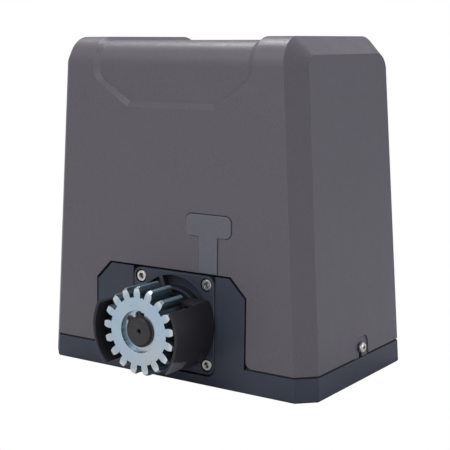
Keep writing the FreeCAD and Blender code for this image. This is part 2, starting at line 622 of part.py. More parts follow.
def make_cover_seal():
    """Rubber strip on the rim, broken at the pads and at the side tabs."""
    top = RIM_HEIGHT + SEAL_THICKNESS
    ring = footprint_prism(RIM_HEIGHT, top, 1.2).cut(footprint_prism(RIM_HEIGHT - 1, top + 1, COVER_WALL))
    gaps = [box(-PAD_HALF_WIDTH - 1, PAD_HALF_WIDTH + 1, -BASE_DEPTH, PAD_BACK, 0, PAD_TOP),
            arch_prism(REAR_PAD_RADIUS + 1, 0, BASE_DEPTH),
            box(-BASE_WIDTH, BASE_WIDTH, TAB_Y - TAB_HALF_WIDTH - 1, TAB_Y + TAB_HALF_WIDTH + 1, 0, PAD_TOP)]
    for gap in gaps:
        ring = ring.cut(gap)
    return ring


def make_grommet():
    """Flanged rubber ring in the floor's cable hole."""
    body = cylinder_z(CABLE_X, CABLE_Y, CABLE_HOLE_RADIUS, 0.5, FLOOR)
    flange = cylinder_z(CABLE_X, CABLE_Y, CABLE_HOLE_RADIUS + 3, FLOOR, FLOOR + 2.5)
    return union([body, flange]).cut(cylinder_z(CABLE_X, CABLE_Y, GROMMET_BORE_RADIUS, 0, FLOOR + 3))


# ---------------------------------------------------------------- end plate
def make_end_plate():
    """Flanged plate with stepped recess round the shaft, seal seat and bearing hub behind."""
    half = PLATE_SIZE / 2
    plate = rounded_plate(PLATE_X - half, PLATE_X + half, PAD_TOP - PLATE_SIZE, PAD_TOP,
                          PLATE_CORNER_RADIUS, PLATE_FRONT, PLATE_BACK)
    front = [f for f in plate.Faces if abs(f.CenterOfMass.y - PLATE_FRONT) < 1e-4][0]
    plate = plate.makeChamfer(0.8, front.OuterWire.Edges)
    hub = cylinder_y(AXIS_X, AXIS_Z, CHAMBER_RADIUS - HUB_CLEARANCE, PLATE_BACK - 1,
                     FRONT_BEARING_Y + BEARING_WIDTH)
    plate = union([plate, hub])
    groove = cylinder_y(AXIS_X, AXIS_Z, RECESS_RADIUS, PLATE_FRONT - 1, PLATE_FRONT + RECESS_DEPTH)
    collar_front = PLATE_FRONT + COLLAR_SETBACK
    groove = groove.cut(Part.makeCone(COLLAR_RADIUS, COLLAR_FOOT_RADIUS, RECESS_DEPTH - COLLAR_SETBACK,
                                      V(AXIS_X, collar_front, AXIS_Z), V(0, 1, 0)))
    for k in range(SPOKE_COUNT):
        spoke = box(INNER_RADIUS + 0.5, RECESS_RADIUS + 1, PLATE_FRONT, PLATE_FRONT + RECESS_DEPTH,
                    -SPOKE_WIDTH / 2, SPOKE_WIDTH / 2)
        spoke.rotate(V(0, 0, 0), V(0, 1, 0), -SPOKE_ANGLE - 360.0 * k / SPOKE_COUNT)
        spoke.translate(V(AXIS_X, 0, AXIS_Z))
        groove = groove.cut(spoke)
    plate = plate.cut(groove)
    for radius, depth in ((INNER_RADIUS, INNER_DEPTH), (SEAL_RADIUS + FIT, INNER_DEPTH + SEAL_WIDTH)):
        plate = plate.cut(cylinder_y(AXIS_X, AXIS_Z, radius, PLATE_FRONT - 1, PLATE_FRONT + depth))
    plate = plate.cut(cylinder_y(AXIS_X, AXIS_Z, SHAFT_RADIUS + 2, PLATE_FRONT, 0))
    plate = plate.cut(cylinder_y(AXIS_X, AXIS_Z, BEARING_RADIUS + FIT, FRONT_BEARING_Y, 0))
    for x, z in plate_screw_places():
        plate = plate.cut(cylinder_y(x, z, 3 + RUNNING_FIT, PLATE_FRONT - 1, 0))
        plate = plate.cut(cylinder_y(x, z, 5.9, PLATE_FRONT - 1, PLATE_FRONT + 6))
    for x, z in guard_screw_places():
        plate = plate.cut(cylinder_y(x, z, 1.5 + RUNNING_FIT, PLATE_FRONT - 1, PLATE_FRONT + 9))
    return plate


def make_gasket():
    half = PLATE_SIZE / 2
    gasket = rounded_plate(PLATE_X - half, PLATE_X + half, PAD_TOP - PLATE_SIZE, PAD_TOP,
                           PLATE_CORNER_RADIUS, PLATE_BACK, POCKET_FLOOR)
    gasket = gasket.cut(cylinder_y(AXIS_X, AXIS_Z, CHAMBER_RADIUS + 0.3, PLATE_BACK - 1, 0))
    for x, z in plate_screw_places():
        gasket = gasket.cut(cylinder_y(x, z, 3.4, PLATE_BACK - 1, 0))
    return gasket


def socket_screw_y(x, z, radius, head_radius, head_height, y_head, length):
    """Socket-head cap screw along Y, its head facing the front."""
    head = cylinder_y(x, z, head_radius, y_head, y_head + head_height)
    rim = [e for e in head.Edges if abs(e.CenterOfMass.y - y_head) < 1e-6 and e.Length > head_radius]
    head = head.makeChamfer(0.5, rim)
    across = head_radius * 0.5
    corners = [V(x + across * 1.155 * math.cos(math.radians(60 * k)), y_head - 1,
                 z + across * 1.155 * math.sin(math.radians(60 * k))) for k in range(6)]
    head = head.cut(polygon_prism(corners, V(0, 1 + 0.6 * head_height, 0)))
    shank = cylinder_y(x, z, radius, y_head + head_height - 0.5, y_head + head_height + length)
    return union([head, shank])


def make_plate_screws():
    return Part.makeCompound([socket_screw_y(x, z, 3, 5, 5.6, PLATE_FRONT + 0.4, 20)
                              for x, z in plate_screw_places()])


def make_oil_seal():
    y0, y1 = PLATE_FRONT + INNER_DEPTH, PLATE_FRONT + INNER_DEPTH + SEAL_WIDTH
    seal = cylinder_y(AXIS_X, AXIS_Z, SEAL_RADIUS, y0, y1)
    seal = seal.cut(cylinder_y(AXIS_X, AXIS_Z, SHAFT_RADIUS + RUNNING_FIT, y0 - 1, y1 + 1))
    groove = cylinder_y(AXIS_X, AXIS_Z, SEAL_RADIUS - 2.5, y0 - 1, y0 + 1.2)
    return seal.cut(groove.cut(cylinder_y(AXIS_X, AXIS_Z, SHAFT_RADIUS + 2, y0 - 2, y0 + 2)))


def bearing(outer, inner, width):
    """Closed ball bearing along Z from z=0, its shields set in a little."""
    ring = Part.makeCylinder(outer, width).cut(Part.makeCylinder(inner + RUNNING_FIT, width))
    shield = Part.makeCylinder(outer * 0.88, 0.8).cut(Part.makeCylinder(inner * 1.3, 0.8))
    for z in (0.0, width - 0.8):
        lowered = shield.copy()
        lowered.translate(V(0, 0, z))
        ring = ring.cut(lowered)
    return ring


def output_bearing(y):
    ring = bearing(BEARING_RADIUS, SHAFT_RADIUS, BEARING_WIDTH)
    ring.rotate(V(0, 0, 0), V(1, 0, 0), -90)
    ring.translate(V(AXIS_X, y, AXIS_Z))
    return ring


def worm_bearing(z):
    ring = bearing(WORM_BEARING_RADIUS, WORM_SHAFT_RADIUS, WORM_BEARING_WIDTH)
    ring.translate(V(WORM_X, WORM_Y, z))
    return ring


# ---------------------------------------------------------------- guard
def arc_sector(inner, outer, a0, a1, y0, y1):
    """Part of a tube about the drive axis between two angles."""
    def at(radius, angle):
        rad = math.radians(angle)
        return V(AXIS_X + radius * math.cos(rad), y0, AXIS_Z + radius * math.sin(rad))
    mid = (a0 + a1) / 2
    wire = Part.Wire([Part.Arc(at(outer, a0), at(outer, mid), at(outer, a1)).toShape(),
                      Part.makeLine(at(outer, a1), at(inner, a1)),
                      Part.Arc(at(inner, a1), at(inner, mid), at(inner, a0)).toShape(),
                      Part.makeLine(at(inner, a0), at(outer, a0))])
    return Part.Face(wire).extrude(V(0, y1 - y0, 0))


def guard_screw_places():
    angle = math.radians(GUARD_BOSS_ANGLE)
    dx, dz = GUARD_BOSS_CIRCLE * math.cos(angle), GUARD_BOSS_CIRCLE * math.sin(angle)
    return [(AXIS_X + sx * dx, AXIS_Z - dz) for sx in (-1, 1)]


def guard_wing(bottom, top):
    """Curved wing with a hollow foot behind the pinion, closed on top by a level shelf."""
    outer = GUARD_INNER_RADIUS + GUARD_WALL
    shelf_z = AXIS_Z + outer * math.sin(math.radians(GUARD_RIGHT_TOP))
    foot_front = PINION_BACK + GUARD_FOOT_GAP
    wall = arc_sector(GUARD_INNER_RADIUS, outer, bottom, top, GUARD_FRONT, PLATE_FRONT)
    reveal = arc_sector(outer - GUARD_WALL / 2, outer + 1, bottom - 1, top + 1, PLATE_FRONT - GUARD_REVEAL,
                        PLATE_FRONT + 1)
    wall = wall.cut(reveal)
    centre = 0.0 if top < 90 else 180.0
    low, high = centre - 75, centre + 75
    ring = arc_sector(GUARD_FOOT_INNER_RADIUS, outer - GUARD_WALL / 2, low, high, foot_front, PLATE_FRONT)
    hollow = arc_sector(GUARD_FOOT_INNER_RADIUS + GUARD_WALL, GUARD_INNER_RADIUS, low - 1, high + 1,
                        foot_front - 1, PLATE_FRONT - GUARD_FLANGE)
    side = 1 if top < 90 else -1
    x0, x1 = sorted((AXIS_X, AXIS_X + side * outer))
    bottom_z = AXIS_Z - outer * math.sin(math.radians(-GUARD_RIGHT_BOTTOM))
    limit = box(x0, x1, foot_front - 2, PLATE_FRONT, bottom_z, shelf_z)
    inside = box(x0, x1, foot_front - 2, PLATE_FRONT, bottom_z - 1, shelf_z - GUARD_WALL)
    foot = ring.common(limit).cut(hollow.common(inside))
    return union([wall, foot])


def make_guard():
    """Two curved wings with hollow feet, joined by a flange that runs under the pinion."""
    outer = GUARD_INNER_RADIUS + GUARD_WALL
    flange_y = PLATE_FRONT - GUARD_FLANGE
    wings = [guard_wing(GUARD_RIGHT_BOTTOM, GUARD_RIGHT_TOP), guard_wing(GUARD_LEFT_TOP, GUARD_LEFT_BOTTOM)]
    flange = arc_sector(GUARD_FLANGE_INNER_RADIUS, outer - GUARD_WALL / 2, GUARD_LEFT_BOTTOM - 4,
                        360 + GUARD_RIGHT_BOTTOM + 4, flange_y, PLATE_FRONT)
    bosses = [cylinder_y(x, z, GUARD_BOSS_RADIUS, flange_y - 1.5, PLATE_FRONT)
              for x, z in guard_screw_places()]
    guard = union(wings + [flange] + bosses)
    thumb_pad = arc_sector(outer - 0.2, outer + 0.5, GUARD_RIGHT_BOTTOM, GUARD_RIGHT_BOTTOM + 26,
                           GUARD_FRONT, GUARD_FRONT + GUARD_PAD_LENGTH)
    rear, low = GUARD_FRONT + GUARD_PAD_LENGTH, AXIS_Z - outer
    outline = [V(AXIS_X, GUARD_FRONT - 1, low), V(AXIS_X, GUARD_FRONT - 1, AXIS_Z - 14.7),
               V(AXIS_X, rear - 5.4, AXIS_Z - 24.4), V(AXIS_X, rear - 0.9, AXIS_Z - 28), V(AXIS_X, rear, low)]
    guard = union([guard, thumb_pad.common(polygon_prism(outline, V(outer + 5, 0, 0)))])
    for x, z in guard_screw_places():
        guard = guard.cut(cylinder_y(x, z, 1.5 + RUNNING_FIT, flange_y - 3, PLATE_FRONT + 1))
        guard = guard.cut(cylinder_y(x, z, 2.4, flange_y - 3, flange_y + 0.4))
    return guard


def make_guard_screws():
    seat = PLATE_FRONT - GUARD_FLANGE + 0.4
    return Part.makeCompound([union([cylinder_y(x, z, 2.3, seat - 1.4, seat),
                                     cylinder_y(x, z, 1.5, seat - 0.5, PLATE_FRONT + 8)])
                              for x, z in guard_screw_places()])


# ---------------------------------------------------------------- shaft and pinion
def make_shaft():
    """Stepped output shaft with circlip groove, centre hole and two keyways."""
    end_y = PINION_FRONT + 0.3
    nose = cylinder_y(AXIS_X, AXIS_Z, PINION_BORE_RADIUS - FIT, end_y, PINION_BACK)
    rim = [e for e in nose.Edges if abs(e.CenterOfMass.y - end_y) < 1e-6 and e.Length > PINION_BORE_RADIUS]
    nose = nose.makeChamfer(1.0, rim)
    shaft = union([nose, cylinder_y(AXIS_X, AXIS_Z, SHAFT_RADIUS, PINION_BACK, SHAFT_END)])
    groove_y = PINION_FRONT + COUNTERBORE_DEPTH - CIRCLIP_THICKNESS - 0.1
    groove = cylinder_y(AXIS_X, AXIS_Z, SHAFT_RADIUS, groove_y, groove_y + CIRCLIP_THICKNESS)
    groove_bed = cylinder_y(AXIS_X, AXIS_Z, CIRCLIP_GROOVE_RADIUS, groove_y - 1, groove_y + 3)
    shaft = shaft.cut(groove.cut(groove_bed))
    shaft = shaft.cut(cylinder_y(AXIS_X, AXIS_Z, 1.6, end_y - 1, end_y + 5))
    shaft = shaft.cut(Part.makeCone(2.8, 1.6, 1.2, V(AXIS_X, end_y, AXIS_Z), V(0, 1, 0)))
    shaft = shaft.cut(key_block(PINION_BORE_RADIUS, PINION_FRONT + COUNTERBORE_DEPTH + 3, PINION_BACK - 1))
    return shaft.cut(key_block(SHAFT_RADIUS, WORM_Y - 9, WORM_Y + 9))


def key_block(seat_radius, y0, y1, slack=0.0):
    """A parallel key on top of the shaft, bedded in it by more than half its height."""
    low = AXIS_Z + seat_radius - 4
    half = KEY_WIDTH / 2 + slack
    return box(AXIS_X - half, AXIS_X + half, y0, y1, low, low + KEY_HEIGHT + slack)


def make_keys():
    return Part.makeCompound([
        key_block(PINION_BORE_RADIUS, PINION_FRONT + COUNTERBORE_DEPTH + 3, PINION_BACK - 1),
        key_block(SHAFT_RADIUS, WORM_Y - 9, WORM_Y + 9)])


def involute_flank(base_radius, radius_from, radius_to, half_angle_at_pitch, pitch_radius):
    """Points of one tooth flank, as (x, y) about the gear's centre, tooth centred on +X."""
    def roll(radius):
        return math.sqrt(max((radius / base_radius) ** 2 - 1, 0))

    def involute(angle):
        return math.tan(angle) - angle

    inv_pitch = involute(math.acos(base_radius / pitch_radius))
    points = []
    for k in range(FLANK_POINT_COUNT):
        radius = radius_from + (radius_to - radius_from) * k / (FLANK_POINT_COUNT - 1)
        t = roll(radius)
        angle = half_angle_at_pitch + inv_pitch - (t - math.atan(t))
        points.append((radius * math.cos(angle), radius * math.sin(angle)))
    return points


def make_pinion():
    """Spur pinion with involute teeth, tip chamfer, keyed bore and front counterbore."""
    pitch = PINION_MODULE * PINION_TEETH / 2
    base = pitch * math.cos(PRESSURE_ANGLE)
    tip, root = pitch + PINION_MODULE, pitch - 1.25 * PINION_MODULE
    half_angle = math.pi / (2 * PINION_TEETH)
    flank = involute_flank(base, base, tip, half_angle, pitch)
    edges = []
    step = 2 * math.pi / PINION_TEETH
    start = math.radians(PINION_TOOTH_ANGLE)

    def place(point, tooth, mirror=1):
        angle = math.atan2(mirror * point[1], point[0]) + start + tooth * step
        radius = math.hypot(*point)
        return V(AXIS_X + radius * math.cos(angle), PINION_FRONT, AXIS_Z + radius * math.sin(angle))

    foot_angle = math.atan2(flank[0][1], flank[0][0])
    foot = (root * math.cos(foot_angle), root * math.sin(foot_angle))
    gap_half = (root * math.cos(step / 2), root * math.sin(step / 2))
    for tooth in range(PINION_TEETH):
        rising = Part.BSplineCurve()
        rising.interpolate([place(p, tooth, -1) for p in flank])
        falling = Part.BSplineCurve()
        falling.interpolate([place(p, tooth) for p in reversed(flank)])
        edges += [Part.makeLine(place(foot, tooth, -1), place(flank[0], tooth, -1)), rising.toShape(),
                  Part.Arc(place(flank[-1], tooth, -1), place((tip, 0), tooth),
                           place(flank[-1], tooth)).toShape(),
                  falling.toShape(), Part.makeLine(place(flank[0], tooth), place(foot, tooth)),
                  Part.Arc(place(foot, tooth), place(gap_half, tooth), place(foot, tooth + 1, -1)).toShape()]
    gear = Part.Face(Part.Wire(edges)).extrude(V(0, PINION_FACE, 0))
    outside = cylinder_y(AXIS_X, AXIS_Z, tip + 2, PINION_FRONT - 1, PINION_FRONT + TIP_CHAMFER_AXIAL)
    cone = Part.makeCone(tip - TIP_CHAMFER_RADIAL, tip, TIP_CHAMFER_AXIAL, V(AXIS_X, PINION_FRONT, AXIS_Z),
                         V(0, 1, 0))
    gear = gear.cut(outside.cut(cone))
    gear = gear.cut(cylinder_y(AXIS_X, AXIS_Z, PINION_BORE_RADIUS, PINION_FRONT - 1, PINION_BACK + 1))
    gear = gear.cut(cylinder_y(AXIS_X, AXIS_Z, COUNTERBORE_RADIUS, PINION_FRONT - 1,
                               PINION_FRONT + COUNTERBORE_DEPTH))
    keyway = key_block(PINION_BORE_RADIUS, PINION_FRONT + COUNTERBORE_DEPTH, PINION_BACK + 1, FIT)
    return gear.cut(keyway)


def make_circlip():
    """External snap ring with two drilled lugs, seated in the shaft's groove."""
    y0 = PINION_FRONT + COUNTERBORE_DEPTH - CIRCLIP_THICKNESS - 0.05
    y1 = y0 + CIRCLIP_THICKNESS - 0.1
    inner = CIRCLIP_GROOVE_RADIUS + FIT
    ring = cylinder_y(AXIS_X, AXIS_Z, PINION_BORE_RADIUS + CIRCLIP_WIDTH / 2, y0, y1)
    ring = ring.cut(cylinder_y(AXIS_X, AXIS_Z, inner, y0 - 1, y1 + 1))
    gap = box(0, SHAFT_RADIUS + 8, y0 - 1, y1 + 1, -2.2, 2.2)
    gap.rotate(V(0, 0, 0), V(0, 1, 0), -CIRCLIP_GAP_ANGLE)
    gap.translate(V(AXIS_X, 0, AXIS_Z))
    lugs, holes = [], []
    for side in (-1, 1):
        angle = math.radians(CIRCLIP_GAP_ANGLE + side * 21)
        x, z = AXIS_X + 14.3 * math.cos(angle), AXIS_Z + 14.3 * math.sin(angle)
        lugs.append(cylinder_y(x, z, 2.5, y0, y1))
        holes.append(cylinder_y(x, z, 0.9, y0 - 1, y1 + 1))
    ring = union([ring] + lugs)
    for hole in holes + [gap, cylinder_y(AXIS_X, AXIS_Z, inner, y0 - 1, y1 + 1)]:
        ring = ring.cut(hole)
    return ring


def make_spacer():
    y0, y1 = FRONT_BEARING_Y + BEARING_WIDTH, WORM_Y - WHEEL_HUB_LENGTH / 2
    tube = cylinder_y(AXIS_X, AXIS_Z, SHAFT_RADIUS + 4, y0, y1)
    return tube.cut(cylinder_y(AXIS_X, AXIS_Z, SHAFT_RADIUS + FIT, y0 - 1, y1 + 1))


# ---------------------------------------------------------------- worm gear
def make_worm_wheel():
    """Wheel with straight-flanked teeth set at the worm's lead angle, webbed between rim and hub."""
    pitch = WORM_MODULE * WHEEL_TEETH / 2
    tip, root = pitch + WORM_MODULE, pitch - 1.3 * WORM_MODULE
    rim_inner = root - 5
    y0, y1 = WORM_Y - WHEEL_FACE / 2, WORM_Y + WHEEL_FACE / 2
    rim = cylinder_y(0, 0, root, y0, y1).cut(cylinder_y(0, 0, rim_inner, y0 - 1, y1 + 1))
    web = cylinder_y(0, 0, rim_inner + 1, WORM_Y - 4, WORM_Y + 4)
    hub = cylinder_y(0, 0, WHEEL_HUB_RADIUS, WORM_Y - WHEEL_HUB_LENGTH / 2, WORM_Y + WHEEL_HUB_LENGTH / 2)
    half_pitch = math.pi * WORM_MODULE / 4 - FLANK_CLEARANCE
    slope = math.tan(PRESSURE_ANGLE)
    half_tip = half_pitch - WORM_MODULE * slope - 0.15
    half_root = half_pitch + 1.3 * WORM_MODULE * slope
    lead = math.degrees(math.atan(WORM_MODULE / (2 * WORM_PITCH_RADIUS)))
    corners = [V(-tip, -WHEEL_FACE / 2, -half_tip), V(-tip, -WHEEL_FACE / 2, half_tip),
               V(-root + 1, -WHEEL_FACE / 2, half_root), V(-root + 1, -WHEEL_FACE / 2, -half_root)]
    tooth = polygon_prism(corners, V(0, WHEEL_FACE, 0))
    tooth.rotate(V(0, 0, 0), V(1, 0, 0), lead)
    tooth.translate(V(0, WORM_Y, 0))
    teeth = []
    for k in range(WHEEL_TEETH):
        copy = tooth.copy()
        copy.rotate(V(0, 0, 0), V(0, 1, 0), 360.0 * k / WHEEL_TEETH)
        teeth.append(copy)
    wheel = rim.multiFuse([web, hub] + teeth)
    wheel = wheel.common(cylinder_y(0, 0, tip, y0 - 10, y1 + 10))
    wheel.translate(V(AXIS_X, 0, AXIS_Z))
    wheel = wheel.cut(cylinder_y(AXIS_X, AXIS_Z, SHAFT_RADIUS + FIT, y0 - 10, y1 + 10))
    return wheel.cut(key_block(SHAFT_RADIUS, WORM_Y - 20, WORM_Y + 20, FIT))


def make_worm():
    """Worm shaft: single-start thread swept along its helix, on a stepped shaft in two bearings."""
    lead = math.pi * WORM_MODULE
    height = lead * WORM_TURNS
    z0 = AXIS_Z - height / 2
    slope = math.tan(PRESSURE_ANGLE)
    half_pitch = lead / 4 - FLANK_CLEARANCE
    tip, root = WORM_PITCH_RADIUS + WORM_MODULE, WORM_PITCH_RADIUS - 1.25 * WORM_MODULE
    bed = root - 0.6
    half_tip = half_pitch - WORM_MODULE * slope
    half_bed = half_pitch + (WORM_PITCH_RADIUS - bed) * slope
    helix = Part.makeHelix(lead, height, WORM_PITCH_RADIUS)
    section = Part.makePolygon([V(bed, 0, -half_bed), V(tip, 0, -half_tip), V(tip, 0, half_tip),
                                V(bed, 0, half_bed), V(bed, 0, -half_bed)])
    thread = Part.Wire(helix.Edges).makePipeShell([section], True, True)
    thread.translate(V(WORM_X, WORM_Y, z0))
    bearing_top = WORM_LOWER_BEARING_Z + WORM_BEARING_WIDTH
    upper_bearing = CASE_TOP - WORM_BEARING_WIDTH
    core = union([cylinder_z(WORM_X, WORM_Y, root, bearing_top + 0.4, upper_bearing - 0.4),
                  cylinder_z(WORM_X, WORM_Y, WORM_SHAFT_RADIUS, WORM_LOWER_BEARING_Z + 0.5, MOTOR_TOP - 6)])
    return core.fuse(thread)


# ---------------------------------------------------------------- motor
def motor_screw_places():
    return [(WORM_X + MOTOR_SCREW_CIRCLE * math.cos(math.radians(a)),
             WORM_Y + MOTOR_SCREW_CIRCLE * math.sin(math.radians(a))) for a in (45, 135, 225, 315)]


def motor_ring(outer, inner, z0, z1):
    return cylinder_z(WORM_X, WORM_Y, outer, z0, z1).cut(cylinder_z(WORM_X, WORM_Y, inner, z0 - 1, z1 + 1))


def drilled_for_screws(shape, z0, z1):
    for x, y in motor_screw_places():
        shape = shape.cut(cylinder_z(x, y, MOTOR_SCREW_RADIUS + RUNNING_FIT, z0, z1))
    return shape


def make_motor_lower_cap():
    cap = motor_ring(MOTOR_RADIUS, WORM_SHAFT_RADIUS + 4, CASE_TOP, CAP_TOP)
    well = motor_ring(MOTOR_SCREW_CIRCLE - 6, WORM_SHAFT_RADIUS + 8, CASE_TOP + 5, CAP_TOP + 1)
    return drilled_for_screws(cap.cut(well), CASE_TOP - 1, CAP_TOP + 1)


def make_motor_housing():
    """Extruded tube with cooling fins all round and bosses for the through screws."""
    tube = motor_ring(MOTOR_RADIUS, MOTOR_RADIUS - HOUSING_WALL, CAP_TOP, HOUSING_TOP)
    fins = []
    for k in range(MOTOR_FINS):
        fin = box(MOTOR_RADIUS - 1, MOTOR_FIN_RADIUS, -FIN_THICKNESS / 2, FIN_THICKNESS / 2,
                  CAP_TOP, HOUSING_TOP)
        fin.rotate(V(0, 0, 0), V(0, 0, 1), 360.0 * (k + 0.5) / MOTOR_FINS)
        fin.translate(V(WORM_X, WORM_Y, 0))
        fins.append(fin)
    bosses = [cylinder_z(x, y, MOTOR_SCREW_RADIUS + 3, CAP_TOP, HOUSING_TOP) for x, y in motor_screw_places()]
    limit = cylinder_z(WORM_X, WORM_Y, MOTOR_RADIUS, CAP_TOP, HOUSING_TOP)
    housing = tube.multiFuse(fins + [boss.common(limit) for boss in bosses])
    return drilled_for_screws(housing, CAP_TOP - 1, HOUSING_TOP + 1).removeSplitter()


def make_motor_upper_cap():
    """Domed end cap with the upper bearing seat."""
    cap = cylinder_z(WORM_X, WORM_Y, MOTOR_RADIUS, HOUSING_TOP, MOTOR_TOP)
    rim = [e for e in cap.Edges if abs(e.CenterOfMass.z - MOTOR_TOP) < 1e-6 and e.Length > MOTOR_RADIUS]
    cap = cap.makeChamfer(5.0, rim)
    seat_top = HOUSING_TOP + WORM_BEARING_WIDTH + 3
    cap = cap.cut(cylinder_z(WORM_X, WORM_Y, WORM_BEARING_RADIUS + FIT, HOUSING_TOP - 1, seat_top))
    cap = cap.cut(cylinder_z(WORM_X, WORM_Y, WORM_SHAFT_RADIUS + 1, HOUSING_TOP, MOTOR_TOP - 4))
    well = motor_ring(MOTOR_SCREW_CIRCLE - 7, WORM_BEARING_RADIUS + 4, HOUSING_TOP - 1, MOTOR_TOP - 5)
    return drilled_for_screws(cap.cut(well), HOUSING_TOP - 1, MOTOR_TOP + 1)


def make_stator_core():
    """Lamination stack with its winding slots, keyed to clear the through-screw bosses."""
    core = motor_ring(MOTOR_RADIUS - HOUSING_WALL - FIT, ROTOR_RADIUS + AIR_GAP, CORE_BOTTOM, CORE_TOP)
    for k in range(STATOR_SLOT_COUNT):
        slot = box(ROTOR_RADIUS + AIR_GAP + 2.5, ROTOR_RADIUS + 11, -2.4, 2.4, CORE_BOTTOM - 1, CORE_TOP + 1)
        slot.rotate(V(0, 0, 0), V(0, 0, 1), 360.0 * k / STATOR_SLOT_COUNT)
        slot.translate(V(WORM_X, WORM_Y, 0))
        core = core.cut(slot)
    for x, y in motor_screw_places():
        core = core.cut(cylinder_z(x, y, MOTOR_SCREW_RADIUS + 3.4, CORE_BOTTOM - 1, CORE_TOP + 1))
    return core


def make_windings():
    """The two rings of end turns above and below the lamination stack."""
    rings = []
    for z0, z1 in ((CORE_BOTTOM - 8, CORE_BOTTOM), (CORE_TOP, CORE_TOP + 8)):
        ring = motor_ring(ROTOR_RADIUS + 10.8, ROTOR_RADIUS + 2, z0, z1)
        outer = [e for e in ring.Edges if e.Length > 2 * math.pi * (ROTOR_RADIUS + 10)
                 and abs(abs(e.CenterOfMass.z - (CORE_BOTTOM + CORE_TOP) / 2) - CORE_HEIGHT / 2 - 8) < 1e-4]
        rings.append(ring.makeChamfer(2.0, outer))
    return Part.makeCompound(rings)


def make_rotor():
    rotor = motor_ring(ROTOR_RADIUS, WORM_SHAFT_RADIUS + FIT, CORE_BOTTOM - 4, CORE_TOP + 4)
    return rotor


def make_motor_screws():
    screws = []
    for x, y in motor_screw_places():
        head = cylinder_z(x, y, 2 * MOTOR_SCREW_RADIUS, MOTOR_TOP, MOTOR_TOP + 4)
        shank = cylinder_z(x, y, MOTOR_SCREW_RADIUS, CASE_TOP - 11, MOTOR_TOP + 1)
        screws.append(union([head, shank]))
    return Part.makeCompound(screws)


# ---------------------------------------------------------------- electrics
def make_capacitor():
    can = cylinder_z(CAPACITOR_X, CAPACITOR_Y, CAPACITOR_RADIUS, FLOOR + 2, FLOOR + 2 + CAPACITOR_HEIGHT)
    rims = [e for e in can.Edges if e.Length > 2 * CAPACITOR_RADIUS and e.CenterOfMass.z > FLOOR + 20
            and len(e.Vertexes) == 1]
    can = can.makeChamfer(1.2, rims)
    top = FLOOR + 2 + CAPACITOR_HEIGHT
    tabs = [box(CAPACITOR_X + s * 7 - 3, CAPACITOR_X + s * 7 + 3, CAPACITOR_Y - 0.4, CAPACITOR_Y + 0.4,
                top - 1, top + 8) for s in (-1, 1)]
    return union([can] + tabs)


def make_capacitor_cup():
    half = CAPACITOR_RADIUS + 4
    plate = box(CAPACITOR_X - half, CAPACITOR_X + half, CAPACITOR_Y - half, CAPACITOR_Y + half,
                FLOOR, FLOOR + 2)
    ring = cylinder_z(CAPACITOR_X, CAPACITOR_Y, CAPACITOR_RADIUS + 2.2, FLOOR + 2, FLOOR + 20)
    ring = ring.cut(cylinder_z(CAPACITOR_X, CAPACITOR_Y, CAPACITOR_RADIUS + FIT, FLOOR + 2, FLOOR + 21))
    return union([plate, ring])


def make_transformer_core():
    """Lamination stack with a middle limb and two windows."""
    half = CORE_WIDTH / 2
    z0, z1 = FLOOR + SHEET, FLOOR + SHEET + CORE_RISE
    y0, y1 = TRANSFORMER_Y - CORE_STACK / 2, TRANSFORMER_Y + CORE_STACK / 2
    core = box(TRANSFORMER_X - half, TRANSFORMER_X + half, y0, y1, z0, z1)
    for s in (-1, 1):
        x0, x1 = sorted((TRANSFORMER_X + s * CORE_LIMB, TRANSFORMER_X + s * (half - CORE_LIMB)))
        core = core.cut(box(x0, x1, y0 - 1, y1 + 1, z0 + CORE_LIMB, z1 - CORE_LIMB))
    return core


def make_transformer_coil():
    half = CORE_WIDTH / 2 - CORE_LIMB
    z0, z1 = FLOOR + SHEET + CORE_LIMB, FLOOR + SHEET + CORE_RISE - CORE_LIMB
    coil = box(TRANSFORMER_X - half, TRANSFORMER_X + half, TRANSFORMER_Y - COIL_LENGTH / 2,
               TRANSFORMER_Y + COIL_LENGTH / 2, z0, z1)
    upright = [e for e in coil.Edges if abs(e.Length - (z1 - z0)) < 1e-6
               and abs(e.Vertexes[0].Z - e.Vertexes[1].Z) > 1]
    coil = coil.makeFillet(5.0, upright)
    return coil.cut(box(TRANSFORMER_X - CORE_LIMB, TRANSFORMER_X + CORE_LIMB,
                        TRANSFORMER_Y - CORE_STACK / 2, TRANSFORMER_Y + CORE_STACK / 2, z0 - 1, z1 + 1))


def make_transformer_foot():
    half = CORE_WIDTH / 2 + 4
    foot = box(TRANSFORMER_X - half, TRANSFORMER_X + half, TRANSFORMER_Y - CORE_STACK / 2,
               TRANSFORMER_Y + CORE_STACK / 2, FLOOR, FLOOR + SHEET)
    cheeks = [box(x0, x0 + SHEET, TRANSFORMER_Y - CORE_STACK / 2 + 2, TRANSFORMER_Y + CORE_STACK / 2 - 2,
                  FLOOR, FLOOR + CORE_RISE / 2)
              for x0 in (TRANSFORMER_X - CORE_WIDTH / 2 - SHEET, TRANSFORMER_X + CORE_WIDTH / 2)]
    return union([foot] + cheeks)


def make_board_bracket():
    """Bent sheet: a foot on the gear case and an upright plate for the control board."""
    foot = box(BRACKET_X - 30, BRACKET_FACE, -BRACKET_HALF_LENGTH + 7, 5, CASE_TOP, CASE_TOP + SHEET)
    plate = box(BRACKET_X, BRACKET_FACE, -BRACKET_HALF_LENGTH, BRACKET_HALF_LENGTH, CASE_TOP, BRACKET_TOP)
    return union([foot, plate])


def board_corner_places():
    return [(sy * (BOARD_HALF_LENGTH - 5), z) for sy in (-1, 1) for z in (BOARD_BOTTOM + 5, BOARD_TOP - 5)]


